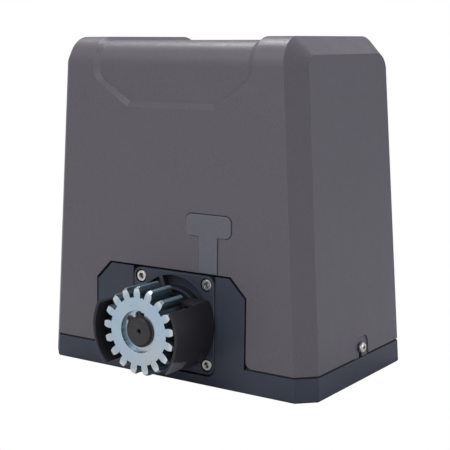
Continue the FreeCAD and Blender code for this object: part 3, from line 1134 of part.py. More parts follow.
def make_standoffs():
    return Part.makeCompound([cylinder_x(y, z, STANDOFF_RADIUS, BRACKET_FACE, BOARD_X)
                              .cut(cylinder_x(y, z, BOARD_SCREW_RADIUS + RUNNING_FIT,
                                              BRACKET_FACE - 1, BOARD_X + 1))
                              for y, z in board_corner_places()])


def make_control_board():
    board = box(BOARD_X, BOARD_FACE, -BOARD_HALF_LENGTH, BOARD_HALF_LENGTH, BOARD_BOTTOM, BOARD_TOP)
    for y, z in board_corner_places():
        board = board.cut(cylinder_x(y, z, BOARD_SCREW_RADIUS + RUNNING_FIT, BOARD_X - 1, BOARD_FACE + 1))
    return board


def make_board_screws():
    head_top = BOARD_FACE + BOARD_SCREW_HEAD_HEIGHT
    return Part.makeCompound([union([cylinder_x(y, z, BOARD_SCREW_HEAD_RADIUS, BOARD_FACE, head_top),
                                     cylinder_x(y, z, BOARD_SCREW_RADIUS, BRACKET_FACE + 1, BOARD_FACE + 1)])
                              for y, z in board_corner_places()])


def make_relays():
    relays = []
    for k in range(RELAY_COUNT):
        y = RELAY_FIRST_Y + k * RELAY_PITCH
        relays.append(box(BOARD_FACE, BOARD_FACE + RELAY_DEPTH, y, y + RELAY_WIDTH,
                          RELAY_TOP - RELAY_HEIGHT, RELAY_TOP))
    return Part.makeCompound(relays)


def make_terminal_block():
    """Screw terminals along the board's lower edge, one wire mouth per way."""
    half = TERMINAL_COUNT * TERMINAL_PITCH / 2
    front = BOARD_FACE + TERMINAL_DEPTH
    mouth_x = BOARD_FACE + WIRE_MOUTH_FROM_BOARD
    screw_z = TERMINAL_BOTTOM + TERMINAL_SCREW_HEIGHT
    block = box(BOARD_FACE, front, -half, half, TERMINAL_BOTTOM, TERMINAL_BOTTOM + TERMINAL_HEIGHT)
    for k in range(TERMINAL_COUNT):
        y = -half + (k + 0.5) * TERMINAL_PITCH
        block = block.cut(box(mouth_x, mouth_x + WIRE_MOUTH_DEPTH,
                              y - WIRE_MOUTH_WIDTH / 2, y + WIRE_MOUTH_WIDTH / 2,
                              TERMINAL_BOTTOM - 1, TERMINAL_BOTTOM + WIRE_MOUTH_HEIGHT))
        block = block.cut(cylinder_x(y, screw_z, TERMINAL_SCREW_RADIUS,
                                     front - TERMINAL_SCREW_DEPTH, front + 1))
    return block


def make_switch_bodies():
    bodies = []
    for k in range(3):
        y = BUTTON_FIRST_Y + k * BUTTON_PITCH
        body = box(BOARD_FACE, BOARD_FACE + SWITCH_DEPTH, y - SWITCH_SIZE / 2, y + SWITCH_SIZE / 2,
                   BUTTON_Z - SWITCH_SIZE / 2, BUTTON_Z + SWITCH_SIZE / 2)
        bodies.append(body.cut(cylinder_x(y, BUTTON_Z, BUTTON_RADIUS + RUNNING_FIT,
                                          BOARD_FACE + SWITCH_FLOOR, BOARD_FACE + SWITCH_DEPTH + 1)))
    return Part.makeCompound(bodies)


def make_button(k):
    y = BUTTON_FIRST_Y + k * BUTTON_PITCH
    inner_end = BOARD_FACE + SWITCH_FLOOR + BUTTON_TRAVEL + BUTTON_END_GAP
    return cylinder_x(y, BUTTON_Z, BUTTON_RADIUS, inner_end, BOARD_FACE + BUTTON_REACH)


def make_limit_sensor():
    """Magnetic limit sensor on the gear case, just behind the cover's front wall."""
    y = CASE_FRONT + LIMIT_SENSOR_SETBACK
    body = box(LIMIT_SENSOR_X, LIMIT_SENSOR_X + LIMIT_SENSOR_WIDTH, y, y + LIMIT_SENSOR_DEPTH,
               CASE_TOP, CASE_TOP + LIMIT_SENSOR_HEIGHT)
    upright = [e for e in body.Edges if abs(e.Length - LIMIT_SENSOR_HEIGHT) < 1e-6]
    return body.makeFillet(LIMIT_SENSOR_CORNER_RADIUS, upright)


# ---------------------------------------------------------------- fastening of the cover
def make_cover_screws():
    """Pan-head screws through the side tabs, with cross recess."""
    seat = side_x(COVER_SCREW_Z - COVER_SCREW_HEAD_RADIUS) - TAB_DEPTH + COVER_SCREW_LIFT_GAP
    head = cylinder_x(TAB_Y, COVER_SCREW_Z, COVER_SCREW_HEAD_RADIUS, seat, seat + COVER_SCREW_HEAD_HEIGHT)
    rim = [e for e in head.Edges if abs(e.CenterOfMass.x - seat - COVER_SCREW_HEAD_HEIGHT) < 1e-6
           and len(e.Vertexes) == 1]
    head = head.makeFillet(COVER_SCREW_HEAD_HEIGHT * 0.6, rim)
    tip = seat + COVER_SCREW_HEAD_HEIGHT
    for dy, dz in ((2.4, 0.5), (0.5, 2.4)):
        head = head.cut(box(tip - 1.6, tip + 1, TAB_Y - dy, TAB_Y + dy,
                            COVER_SCREW_Z - dz, COVER_SCREW_Z + dz))
    shank = cylinder_x(TAB_Y, COVER_SCREW_Z, COVER_SCREW_RADIUS, seat - COVER_SCREW_LENGTH, seat + 0.5)
    screw = union([head, shank])
    return Part.makeCompound([screw, mirrored_x(screw)])


# ---------------------------------------------------------------- manual release
def lever_front():
    return BASE_DEPTH / 2 + LEVER_GAP


def make_release_lever():
    """Cast lever: round hub with a tapering handle that hangs down at rest."""
    y0, y1 = lever_front(), lever_front() + LEVER_THICKNESS
    hub = cylinder_y(AXIS_X, AXIS_Z, LEVER_HUB_RADIUS, y0, y1)
    tip_z = AXIS_Z - LEVER_LENGTH
    tip = cylinder_y(AXIS_X, tip_z, LEVER_TIP_RADIUS, y0 + 2, y1)
    shoulder = LEVER_HUB_RADIUS * 0.7
    arm = polygon_prism([V(AXIS_X - shoulder, y0 + 2, AXIS_Z), V(AXIS_X - LEVER_TIP_RADIUS, y0 + 2, tip_z),
                         V(AXIS_X + LEVER_TIP_RADIUS, y0 + 2, tip_z), V(AXIS_X + shoulder, y0 + 2, AXIS_Z)],
                        V(0, LEVER_THICKNESS - 2, 0))
    lever = union([hub, tip, arm])
    face = [e for e in lever.Edges if abs(e.CenterOfMass.y - y1) < 1e-4]
    lever = lever.makeChamfer(1.5, face)
    lever = lever.cut(cylinder_y(AXIS_X, AXIS_Z, SPINDLE_RADIUS + FIT, y0 - 1, y0 + 3))
    return lever.cut(cylinder_y(AXIS_X, AXIS_Z, BARREL_RADIUS + RUNNING_FIT, y0 + 2, y1 + 1))


def make_release_spindle():
    """Turning spindle through the neck with its cam end next to the output shaft."""
    y0 = SHAFT_END + 1.0
    spindle = cylinder_y(AXIS_X, AXIS_Z, SPINDLE_RADIUS, y0, lever_front() + 3)
    return spindle.cut(box(AXIS_X, AXIS_X + SPINDLE_RADIUS + 1, y0 - 1, y0 + 4,
                           AXIS_Z - SPINDLE_RADIUS - 1, AXIS_Z + SPINDLE_RADIUS + 1))


def make_lock_barrel():
    y0, y1 = lever_front() + 3, lever_front() + LEVER_THICKNESS + 0.6
    barrel = cylinder_y(AXIS_X, AXIS_Z, BARREL_RADIUS, y0, y1)
    return barrel.cut(box(AXIS_X - 0.8, AXIS_X + 0.8, y1 - 6, y1 + 1, AXIS_Z - 3.5, AXIS_Z + 4.5))


NODES = {
    "base_housing": make_base,
    "cover": make_cover,
    "cover_seal": make_cover_seal,
    "tee_blanking_plate": make_tee_plate,
    "cover_screws": make_cover_screws,
    "cable_grommet": make_grommet,
    "gearbox_end_plate": make_end_plate,
    "end_plate_gasket": make_gasket,
    "end_plate_screws": make_plate_screws,
    "shaft_oil_seal": make_oil_seal,
    "front_output_bearing": lambda: output_bearing(FRONT_BEARING_Y),
    "rear_output_bearing": lambda: output_bearing(REAR_BEARING_Y),
    "output_shaft": make_shaft,
    "shaft_keys": make_keys,
    "drive_pinion": make_pinion,
    "shaft_circlip": make_circlip,
    "wheel_spacer": make_spacer,
    "worm_wheel": make_worm_wheel,
    "pinion_guard": make_guard,
    "guard_screws": make_guard_screws,
    "worm_shaft": make_worm,
    "lower_worm_bearing": lambda: worm_bearing(WORM_LOWER_BEARING_Z),
    "upper_worm_bearing": lambda: worm_bearing(CASE_TOP - WORM_BEARING_WIDTH),
    "motor_top_bearing": lambda: worm_bearing(HOUSING_TOP + 3),
    "motor_lower_cap": make_motor_lower_cap,
    "motor_housing": make_motor_housing,
    "motor_upper_cap": make_motor_upper_cap,
    "stator_core": make_stator_core,
    "stator_windings": make_windings,
    "motor_rotor": make_rotor,
    "motor_screws": make_motor_screws,
    "run_capacitor": make_capacitor,
    "capacitor_cup": make_capacitor_cup,
    "transformer_core": make_transformer_core,
    "transformer_coil": make_transformer_coil,
    "transformer_foot": make_transformer_foot,
    "board_bracket": make_board_bracket,
    "board_standoffs": make_standoffs,
    "control_board": make_control_board,
    "board_screws": make_board_screws,
    "relays": make_relays,
    "terminal_block": make_terminal_block,
    "switch_bodies": make_switch_bodies,
    "button_open": lambda: make_button(0),
    "button_stop": lambda: make_button(1),
    "button_close": lambda: make_button(2),
    "limit_sensor": make_limit_sensor,
    "release_lever": make_release_lever,
    "release_spindle": make_release_spindle,
    "lock_barrel": make_lock_barrel,
}

os.makedirs("parts", exist_ok=True)
for name, make in NODES.items():
    shape = make()
    if not shape.isValid():
        print("invalid shape:", name)
    shape.exportStep("parts/" + name + ".step")
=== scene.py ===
import json
import math

import bpy
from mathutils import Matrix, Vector


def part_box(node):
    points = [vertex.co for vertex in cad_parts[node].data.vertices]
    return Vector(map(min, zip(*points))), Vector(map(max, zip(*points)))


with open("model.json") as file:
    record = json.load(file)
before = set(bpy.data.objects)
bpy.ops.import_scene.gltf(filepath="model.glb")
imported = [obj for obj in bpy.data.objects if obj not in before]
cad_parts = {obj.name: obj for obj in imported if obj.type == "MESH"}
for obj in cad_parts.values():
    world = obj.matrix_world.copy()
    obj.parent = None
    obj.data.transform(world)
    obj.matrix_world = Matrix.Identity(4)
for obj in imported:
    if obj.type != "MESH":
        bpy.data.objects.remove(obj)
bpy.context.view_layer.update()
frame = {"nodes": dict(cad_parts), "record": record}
nodes = frame["nodes"]

# Camera, placed in the part's frame in metres
CAMERA_PLACE = Vector((0.5789, -0.8413, 0.2922))
CAMERA_TURN = 34.49         # degrees, anticlockwise from looking along +Y
CAMERA_TILT = -9.34         # degrees, negative looks down
CAMERA_ROLL = 0.08          # degrees
CAMERA_LENS = 89.6          # mm
SENSOR_WIDTH = 36.0         # mm
CAMERA_NEAR = 0.01          # metres, nothing nearer is drawn

# The drive axis and the radii about it, from the pieces' own boxes
shaft_low, shaft_high = (Vector(corner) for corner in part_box("output_shaft"))
pinion_low, pinion_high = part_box("drive_pinion")
guard_low, guard_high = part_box("pinion_guard")
AXIS_X = (shaft_low.x + shaft_high.x) / 2
AXIS_Z = (shaft_low.z + shaft_high.z) / 2
PINION_RADIUS = (pinion_high[0] - pinion_low[0]) / 2
GUARD_RADIUS = guard_high[0] - AXIS_X
GUARD_FRONT = guard_low[1]

# The painted reflection low on the guard's right wing: how far back it goes, and the slant of its upper
# edge about the axis
REFLECTION_PATCH_LENGTH = 0.0225
REFLECTION_PATCH_TOP = math.radians(-24.0)
REFLECTION_PATCH_SLANT = -6.0            # radians per metre
REFLECTION_PATCH_COLOUR = (0.10, 0.10, 0.118)

# Colours by slot: the record's, then those chosen for the picture, and factors that lift or lower a tone
WHITE = (1.0, 1.0, 1.0)
COLOURS = {material["slot"]: tuple(material["base_color"][:3])
           for material in frame["record"]["materials"]}
COLOURS["cover_plastic"] = (0.104, 0.095, 0.112)
COLOURS["tee_plastic"] = (0.112, 0.114, 0.134)
COLOURS["zinc_steel"] = (0.48, 0.67, 0.84)
TONES = {"black_rubber": 0.6, "cast_base": 0.68, "stainless": 1.2, "black_steel": 0.6}
GEAR_FLANK = (0.13, 0.19, 0.23)
# Tooth tips and edges painted paler, partly as rubbing and partly as a painted highlight
GEAR_TIP_WEAR_AND_HIGHLIGHT = (0.92, 0.92, 0.90)
# A painted reflection tint that drifts in clouds over the gear's face
GEAR_PAINTED_REFLECTION = (0.60, 0.64, 0.66)
GEAR_STAIN = (0.20, 0.13, 0.08)

# Node settings
SOFT_RAYS = 6                       # rays for a soft edge or a hollow
NOISE_ROUGHNESS = 0.55
NOISE_LOW, NOISE_HIGH = 0.3, 0.7    # nearly all of a noise texture lies between these
OFF_EDGE, ON_EDGE = 0.995, 0.86     # cosine between the true and the softened normal
MIX_AMOUNT, MIX_FIRST, MIX_SECOND = 0, 6, 7     # the mix node's inputs for colours
MIX_RESULT = 2                                  # and its output for colours

# Stage
FLOOR_REACH = 6.0
FLOOR_COLOUR = (0.55, 0.55, 0.55)
AMBIENT_COLOUR = (0.93, 0.96, 1.0)
AMBIENT_STRENGTH = 0.37
BODY_MIDDLE = (0, 0, 0.14)
BODY_TOP = (0, 0, 0.3)
# name, place, what it faces, width and height, power in watts, colour
LIGHTS = (
    ("key", (-0.35, -1.6, 1.3), BODY_MIDDLE, (1.2, 1.0), 15, (1.0, 0.98, 0.99)),
    ("fill", (0.5, -1.7, 0.5), BODY_MIDDLE, (1.0, 0.7), 4, (0.97, 0.99, 1.0)),
    ("side", (1.75, 0.75, 0.45), BODY_MIDDLE, (0.9, 0.9), 10, (0.90, 0.90, 1.0)),
    ("top", (-0.5, 0.22, 1.9), BODY_TOP, (0.45, 1.3), 27, WHITE),
    ("rim", (0.6, 1.7, 1.5), BODY_TOP, (1.0, 0.8), 3, WHITE),
)


# ------------------------------------------------------------ node helpers
class Nodes:
    """Short calls for building a node tree."""

    def __init__(self, tree):
        self.tree = tree

    def feed(self, socket, value):
        """Gives an input another node's output, a colour or a number."""
        if hasattr(value, "is_output"):
            self.tree.links.new(value, socket)
        elif socket.type == "RGBA":
            socket.default_value = (*value, 1.0)
        else:
            socket.default_value = value

    def node(self, kind, inputs=None, **settings):
        """A new node, with its inputs fed by name or number."""
        node = self.tree.nodes.new(kind)
        for name, value in settings.items():
            setattr(node, name, value)
        for name, value in (inputs or {}).items():
            self.feed(node.inputs[name], value)
        return node

    def seen_white(self, lighting, white):
        """The first shader for the light it throws, and the white one for what the camera sees."""
        camera_ray = self.node("ShaderNodeLightPath").outputs["Is Camera Ray"]
        mixed = self.node("ShaderNodeMixShader", {"Fac": camera_ray, 1: lighting, 2: white})
        return mixed.outputs["Shader"]


class Graph(Nodes):
    """A material's node tree. Noise scales are in features per metre."""

    def __init__(self, name):
        self.material = bpy.data.materials.new(name)
        self.material.use_nodes = True
        super().__init__(self.material.node_tree)
        self.shader = self.tree.nodes["Principled BSDF"]
        coordinates = self.node("ShaderNodeTexCoord")
        self.place = coordinates.outputs["Object"]
        self.facing = coordinates.outputs["Normal"]
        self.rounded = None

    def noise(self, scale, detail=3.0, vector=None):
        return self.node("ShaderNodeTexNoise", {
            "Scale": scale, "Detail": detail, "Roughness": NOISE_ROUGHNESS,
            "Vector": vector or self.place}).outputs["Fac"]

    def stretched(self, factors):
        """Places scaled along each axis, which draws a texture out into streaks."""
        return self.node("ShaderNodeMapping", {"Scale": factors, "Vector": self.place}).outputs["Vector"]

    def ramp(self, source, stops):
        """stops: (position, colour)"""
        node = self.node("ShaderNodeValToRGB", {"Fac": source})
        elements = node.color_ramp.elements
        while len(elements) < len(stops):
            elements.new(0.5)
        for element, (position, colour) in zip(elements, stops):
            element.position = position
            element.color = (*colour, 1.0)
        return node.outputs["Color"]

    def span(self, source, low, high, start=NOISE_LOW, end=NOISE_HIGH):
        """Maps start..end of the source to low..high."""
        return self.node("ShaderNodeMapRange", {
            "Value": source, "From Min": start, "From Max": end,
            "To Min": low, "To Max": high}).outputs["Result"]

    def around(self, source, middle, reach):
        """Maps a noise texture to the values within reach of the middle one."""
        return self.span(source, middle - reach, middle + reach)

    def math(self, kind, *values):
        return self.node("ShaderNodeMath", dict(enumerate(values)), operation=kind).outputs["Value"]

    def mix(self, amount, first, second):
        """Colour from first to second as amount goes from 0 to 1."""
        node = self.node("ShaderNodeMix", {MIX_AMOUNT: amount, MIX_FIRST: first, MIX_SECOND: second},
                         data_type="RGBA")
        return node.outputs[MIX_RESULT]

    def parts(self, vector):
        split = self.node("ShaderNodeSeparateXYZ", {"Vector": vector})
        return split.outputs["X"], split.outputs["Y"], split.outputs["Z"]

    def round_edges(self, radius):
        """Softens the edges by radius in metres, and gives a mask of how close an edge is."""
        bevel = self.node("ShaderNodeBevel", {"Radius": radius}, samples=SOFT_RAYS)
        self.rounded = bevel.outputs["Normal"]
        true_normal = self.node("ShaderNodeNewGeometry").outputs["Normal"]
        product = self.node("ShaderNodeVectorMath", {0: self.rounded, 1: true_normal},
                            operation="DOT_PRODUCT")
        return self.span(product.outputs["Value"], 0.0, 1.0, start=OFF_EDGE, end=ON_EDGE)

    def hollows(self, reach):
        """1 in the open, towards 0 deep in a hollow of the piece itself."""
        return self.node("ShaderNodeAmbientOcclusion", {"Distance": reach},
                         only_local=True, samples=SOFT_RAYS).outputs["AO"]

    def from_axis(self):
        """Distance to the side of the drive axis, place along it and height above it, in metres."""
        x, y, z = self.parts(self.place)
        return self.math("SUBTRACT", x, AXIS_X), y, self.math("SUBTRACT", z, AXIS_Z)

    def radius_about_axis(self):
        """Distance from the drive axis, in metres."""
        dx, _, dz = self.from_axis()
        squares = [self.math("MULTIPLY", distance, distance) for distance in (dx, dz)]
        return self.math("SQRT", self.math("ADD", *squares))

    def rings(self, scale):
        """Turned-surface rings about the drive axis."""
        return self.node("ShaderNodeTexNoise", {
            "Scale": scale, "Detail": 3.0, "W": self.radius_about_axis()},
            noise_dimensions="1D").outputs["Fac"]

    def finished(self, inputs, layers):
        """The material, with its shader's inputs fed by name and its bumps stacked on the softened edges.

        layers: (height, strength, distance in metres)"""
        normal = self.rounded
        for height, strength, distance in layers:
            bump = {"Height": height, "Strength": strength, "Distance": distance}
            if normal:
                bump["Normal"] = normal
            normal = self.node("ShaderNodeBump", bump).outputs["Normal"]
        for name, value in {**inputs, "Normal": normal}.items():
            self.feed(self.shader.inputs[name], value)
        return self.material


def tinted(colour, factor):
    return tuple(min(1.0, channel * factor) for channel in colour)


def mottled(graph, colour, amount, scale, detail=4.0):
    """A colour that drifts a little over the surface."""
    return graph.ramp(graph.noise(scale, detail),
                      [(NOISE_LOW, tinted(colour, 1 - amount)), (NOISE_HIGH, tinted(colour, 1 + amount))])


# ------------------------------------------------------------ finishes
def moulded_plastic(name, colour, roughness, grain=1100.0, depth=0.00015, amount=0.04, specular=0.5,
                    edge=0.0005, edge_wear_and_highlight=1.25, patch=None):
    """Fine-grained moulding with soft edges painted a little paler, partly as rubbing and partly as a
    painted highlight.
    """
    speckle_scale, cloud_scale, edge_mark_scale, sheen_scale, wave_scale = 900.0, 26.0, 220.0, 60.0, 18.0
    sheen_range = 0.04
    graph = Graph(name)
    edges = graph.round_edges(edge)
    speckle = graph.span(graph.noise(speckle_scale, 1.0), 0.0, 1.0)
    clouds = mottled(graph, tinted(colour, 0.93), amount, cloud_scale)
    base = graph.mix(speckle, clouds, tinted(colour, 1.08))
    if patch:
        base = patch(graph, base)
    # Painted highlight: the edges are painted paler, broken up by a noise like rubbing.
    scuffs_and_highlight = graph.math("MULTIPLY", edges, graph.span(graph.noise(edge_mark_scale), 0.2, 1.0))
    return graph.finished({
        "Base Color": graph.mix(scuffs_and_highlight, base, tinted(colour, edge_wear_and_highlight)),
        "Specular IOR Level": specular,
        "Roughness": graph.around(graph.noise(sheen_scale), roughness, sheen_range),
    }, [(graph.noise(grain, 2.0), 0.7, depth), (graph.noise(wave_scale, 1.0), 0.08, 0.0006)])


def painted_reflection_patch(graph, base):
    """A painted reflection low on the guard's right wing: a paler patch on the grained wall round it."""
    edge_angle, edge_blur, wall_outer, wall_inner = 0.02, 0.0003, 0.0002, 0.0006
    dx, y, dz = graph.from_axis()
    angle = graph.math("ARCTAN2", dz, dx)
    behind = graph.math("SUBTRACT", y, GUARD_FRONT)
    limit = graph.math("ADD", graph.math("MULTIPLY", behind, REFLECTION_PATCH_SLANT), REFLECTION_PATCH_TOP)
    below_edge = graph.span(graph.math("SUBTRACT", limit, angle), 0.0, 1.0, start=0.0, end=edge_angle)
    near_front = graph.span(behind, 1.0, 0.0, start=REFLECTION_PATCH_LENGTH - edge_blur, end=REFLECTION_PATCH_LENGTH)
    outside = graph.span(graph.radius_about_axis(), 0.0, 1.0, start=GUARD_RADIUS - wall_inner,
                         end=GUARD_RADIUS - wall_outer)
    # Painted reflection: the patch is mixed in as a paler colour.
    amount = graph.math("MULTIPLY", graph.math("MULTIPLY", below_edge, near_front), outside)
    return graph.mix(amount, base, REFLECTION_PATCH_COLOUR)


def powder_coat(name, colour, roughness):
    """Painted casting: a fine orange-peel skin over soft edges that are painted paler, partly as rubbing
    and partly as a painted highlight, with painted shade darkening its hollows.
    """
    grain, peel_scale, cloud_scale, edge_mark_scale, sheen_scale = 1100.0, 160.0, 40.0, 300.0, 900.0
    edge, painted_shade_reach, sheen_range = 0.0007, 0.02, 0.06
    graph = Graph(name)
    edges = graph.round_edges(edge)
    # Painted highlight: the edges are painted paler, broken up by a noise like rubbing.
    rubbing_and_highlight = graph.math("MULTIPLY", edges, graph.span(graph.noise(edge_mark_scale, 4.0), 0.1, 0.9))
    # Painted shade: the hollows are darkened where shade falls in them.
    painted_shade = graph.span(graph.hollows(painted_shade_reach), 0.9, 0.0, start=0.3, end=0.85)
    painted = graph.mix(painted_shade, mottled(graph, colour, 0.08, cloud_scale), tinted(colour, 0.25))
    return graph.finished({
        "Base Color": graph.mix(rubbing_and_highlight, painted, tinted(colour, 1.5)),
        "Specular IOR Level": 0.35,
        "Roughness": graph.around(graph.noise(sheen_scale), roughness, sheen_range),
    }, [(graph.noise(grain, 2.0), 0.45, 0.00008), (graph.noise(peel_scale, 2.0), 0.2, 0.0002)])


def metal(name, colour, roughness, brushed=(1.0, 1.0, 1.0), grain=900.0, depth=0.00003, amount=0.06,
          hollow_shade=0.0):
    """Bare metal with brushed streaks; painted shade darkens its hollows."""
    edge, hollow_shade_reach, cloud_scale = 0.00025, 0.003, 70.0
    graph = Graph(name)
    graph.round_edges(edge)
    base = mottled(graph, colour, amount, cloud_scale)
    # Painted shade: hollows such as the screws' sockets are darkened where shade falls.
    if hollow_shade:
        shade = graph.span(graph.hollows(hollow_shade_reach), hollow_shade, 0.0, start=0.35, end=0.85)
        base = graph.mix(shade, base, tinted(colour, 0.03))
    streaks = graph.noise(grain, 4.0, vector=graph.stretched(brushed))
    return graph.finished({
        "Base Color": base,
        "Metallic": 1.0,
        "Roughness": graph.span(streaks, roughness - 0.06, roughness + 0.08),
    }, [(streaks, 0.3, depth)])


def zinc_gear(name, face, roughness):
    """Zinc-plated gear: pale turned face with stains and a painted reflection tint, dark flanks with
    cutter marks, tips and edges painted paler as rubbing and as a painted highlight.
    """
    cloud_scale, reflection_scale, stain_scale, mark_scale, ring_scale = 60.0, 28.0, 240.0, 700.0, 2600.0
    edge, tip_depth, tip_blur, paler_tip_depth, paler_tip_blur = 0.0003, 0.0009, 0.0004, 0.006, 0.002
    side_facing, front_facing = 0.45, 0.7
    graph = Graph(name)
    edges = graph.round_edges(edge)
    along_axis = graph.math("ABSOLUTE", graph.parts(graph.facing)[1])
    radius = graph.radius_about_axis()

    clouds = graph.noise(cloud_scale, 5.0)
    plated = graph.ramp(clouds, [(NOISE_LOW, tinted(face, 0.9)), (0.62, face)])
    # Painted reflection: clouds of a paler, warmer tint over the face.
    plated = graph.mix(graph.span(graph.noise(reflection_scale, 2.0), 0.0, 0.8), plated, GEAR_PAINTED_REFLECTION)
    stains = graph.span(graph.noise(stain_scale, 2.0), 0.0, 0.6, start=0.70, end=0.76)
    plated = graph.mix(stains, plated, GEAR_STAIN)
    # Painted highlight: the tips of the face are painted paler, with rubbing.
    rubbing_and_highlight = graph.span(radius, 0.0, 0.7, start=PINION_RADIUS - paler_tip_depth,
                        end=PINION_RADIUS - paler_tip_blur)
    plated = graph.mix(rubbing_and_highlight, plated, GEAR_TIP_WEAR_AND_HIGHLIGHT)

    marks = graph.noise(mark_scale, 3.0, vector=graph.stretched((1.0, 0.06, 1.0)))
    hobbed = graph.ramp(marks, [(NOISE_LOW, tinted(GEAR_FLANK, 0.5)), (0.6, tinted(GEAR_FLANK, 1.2)),
                                (0.75, tinted(GEAR_FLANK, 2.4))])
    # Painted highlight: a paler band along the tooth tips on the flanks.
    tip_highlight = graph.span(radius, 0.0, 1.0, start=PINION_RADIUS - tip_depth, end=PINION_RADIUS - tip_blur)
    toothed = graph.mix(tip_highlight, hobbed, tinted(GEAR_FLANK, 2.2))

    front = graph.span(along_axis, 0.0, 1.0, start=side_facing, end=front_facing)
    base = graph.mix(front, toothed, plated)
    rings = graph.rings(ring_scale)
    sheen = graph.math("MULTIPLY", graph.math("ADD", rings, clouds), 0.5)
    return graph.finished({
        # Painted highlight: the edges are painted paler.
        "Base Color": graph.mix(graph.math("MULTIPLY", edges, 0.6), base, GEAR_TIP_WEAR_AND_HIGHLIGHT),
        "Metallic": graph.span(along_axis, 0.8, 1.0, start=side_facing, end=front_facing),
        "Roughness": graph.span(sheen, roughness - 0.05, roughness + 0.12),
    }, [(rings, 0.15, 0.00006), (marks, 0.15, 0.00008)])


def turned_black(name, colour, roughness):
    """Blackened steel with turning rings and paler edges."""
    edge, sheen_range, cloud_scale, ring_scale = 0.0003, 0.08, 90.0, 2200.0
    graph = Graph(name)
    edges = graph.round_edges(edge)
    rings = graph.rings(ring_scale)
    return graph.finished({
        "Base Color": graph.mix(edges, mottled(graph, colour, 0.2, cloud_scale), tinted(colour, 2.2)),
        "Specular IOR Level": 0.5,
        "Roughness": graph.around(rings, roughness, sheen_range),
    }, [(rings, 0.25, 0.00008)])


def circuit_board(name, colour, roughness):
    """Solder mask over faint copper tracks."""
    track_scale, track_width, grain = 90.0, 0.06, 400.0
    graph = Graph(name)
    turned = graph.node("ShaderNodeMapping", {"Rotation": (0.0, math.pi / 2, 0.0), "Vector": graph.place})
    bricks = graph.node("ShaderNodeTexBrick", {
        "Vector": turned.outputs["Vector"], "Scale": track_scale, "Mortar Size": track_width,
        "Color1": colour, "Color2": tinted(colour, 1.5), "Mortar": tinted(colour, 2.2)})
    return graph.finished({"Base Color": bricks.outputs["Color"], "Roughness": roughness},
                          [(graph.noise(grain), 0.1, 0.0001)])


def wound_wire(name, colour, roughness):
    """Varnished turns of enamelled wire."""
    turn_scale, unevenness = 420.0, 1.2
    graph = Graph(name)
    turns = graph.node("ShaderNodeTexWave", {
        "Vector": graph.place, "Scale": turn_scale, "Distortion": unevenness},
        bands_direction="Z").outputs["Fac"]
    return graph.finished({
        "Base Color": graph.ramp(turns, [(0.0, tinted(colour, 0.45)), (1.0, tinted(colour, 1.15))]),
        "Roughness": roughness,
    }, [(turns, 0.6, 0.0003)])


# slot: its kind of finish, roughness, and what differs from that kind
FINISHES = {
    "cover_plastic": (moulded_plastic, 0.43, dict(specular=0.45, edge=0.0007, edge_wear_and_highlight=1.4)),
    "tee_plastic": (moulded_plastic, 0.4, dict(edge=0.0009, edge_wear_and_highlight=2.0)),
    # guard: edges painted paler, partly as a painted highlight, and a painted reflection on its right
    # wing
    "guard_plastic": (moulded_plastic, 0.5, dict(amount=0.15, edge_wear_and_highlight=2.2, specular=0.3, patch=painted_reflection_patch)),
    "black_rubber": (moulded_plastic, 0.75, dict(grain=700.0)),
    "gasket": (moulded_plastic, 0.85, dict(grain=500.0)),
    "white_plastic": (moulded_plastic, 0.35, {}),
    "relay_plastic": (moulded_plastic, 0.3, {}),
    "terminal_plastic": (moulded_plastic, 0.35, {}),
    "button_plastic": (moulded_plastic, 0.5, {}),
    "cast_base": (powder_coat, 0.42, {}),
    # stainless: painted shade in its hollows
    "stainless": (metal, 0.33, dict(hollow_shade=1.0)),
    "bright_steel": (metal, 0.25, dict(brushed=(1, 1, 6))),
    "black_steel": (turned_black, 0.38, {}),
    "zinc_steel": (zinc_gear, 0.3, {}),
    "bronze": (metal, 0.3, {}),
    "raw_aluminium": (metal, 0.42, dict(grain=500.0, depth=0.0001)),
    "lamination_steel": (metal, 0.45, dict(brushed=(0.05, 0.05, 3.0))),
    "galvanised_sheet": (metal, 0.38, dict(grain=140.0, amount=0.14)),
    "brass_parts": (metal, 0.25, {}),
    "circuit_board": (circuit_board, 0.3, {}),
    "copper_winding": (wound_wire, 0.35, {}),
}


def dress_nodes():
    finishes = {}
    for slot, (finish, roughness, differences) in FINISHES.items():
        colour = tinted(COLOURS[slot], TONES.get(slot, 1.0))
        finishes[slot] = finish(slot, colour, roughness, **differences)
    for part in frame["record"]["subparts"]:
        mesh = nodes[part["node"]].data
        mesh.materials.clear()
        mesh.materials.append(finishes[part["material_slot"]])


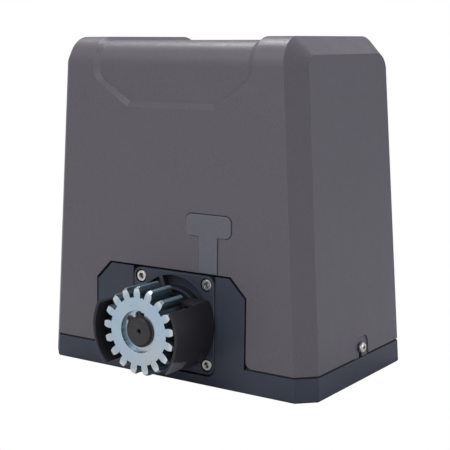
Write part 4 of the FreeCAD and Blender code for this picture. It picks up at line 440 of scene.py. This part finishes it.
# ------------------------------------------------------------ stage
def make_world():
    """Pale light from all round, and plain white where the camera looks past the object."""
    world = bpy.data.worlds.new("studio")
    bpy.context.scene.world = world
    world.use_nodes = True
    world.node_tree.nodes.clear()
    studio = Nodes(world.node_tree)
    ambient = studio.node("ShaderNodeBackground", {"Color": AMBIENT_COLOUR, "Strength": AMBIENT_STRENGTH})
    backdrop = studio.node("ShaderNodeBackground", {"Color": WHITE, "Strength": 1.0})
    seen = studio.seen_white(ambient.outputs["Background"], backdrop.outputs["Background"])
    studio.node("ShaderNodeOutputWorld", {"Surface": seen})


def make_floor():
    """A pale floor that lights the object from below and looks plain white to the camera."""
    mesh = bpy.data.meshes.new("floor")
    corners = [(x * FLOOR_REACH, y * FLOOR_REACH, 0) for x, y in ((-1, -1), (1, -1), (1, 1), (-1, 1))]
    mesh.from_pydata(corners, [], [(0, 1, 2, 3)])
    floor = bpy.data.objects.new("floor", mesh)
    bpy.context.scene.collection.objects.link(floor)
    graph = Graph("floor_paper")
    graph.feed(graph.shader.inputs["Base Color"], FLOOR_COLOUR)
    graph.feed(graph.shader.inputs["Roughness"], 0.9)
    white = graph.node("ShaderNodeEmission").outputs["Emission"]
    seen = graph.seen_white(graph.shader.outputs["BSDF"], white)
    graph.feed(graph.tree.nodes["Material Output"].inputs["Surface"], seen)
    mesh.materials.append(graph.material)


def area_light(name, place, target, size, power, colour):
    light = bpy.data.lights.new(name, "AREA")
    light.shape = "RECTANGLE"
    light.size, light.size_y = size
    light.energy = power
    light.color = colour
    lamp = bpy.data.objects.new(name, light)
    lamp.location = place
    lamp.rotation_euler = (Vector(target) - Vector(place)).to_track_quat("-Z", "Y").to_euler()
    bpy.context.scene.collection.objects.link(lamp)


def make_camera():
    data = bpy.data.cameras.new("camera")
    data.sensor_width = SENSOR_WIDTH
    data.lens = CAMERA_LENS
    data.clip_start = CAMERA_NEAR
    camera = bpy.data.objects.new("camera", data)
    camera.location = CAMERA_PLACE
    turns = (90 + CAMERA_TILT, CAMERA_ROLL, CAMERA_TURN)
    camera.rotation_euler = [math.radians(angle) for angle in turns]
    bpy.context.scene.collection.objects.link(camera)
    bpy.context.scene.camera = camera


dress_nodes()
make_world()
make_floor()
for light in LIGHTS:
    area_light(*light)
make_camera()
bpy.context.scene.view_settings.view_transform = "Standard"
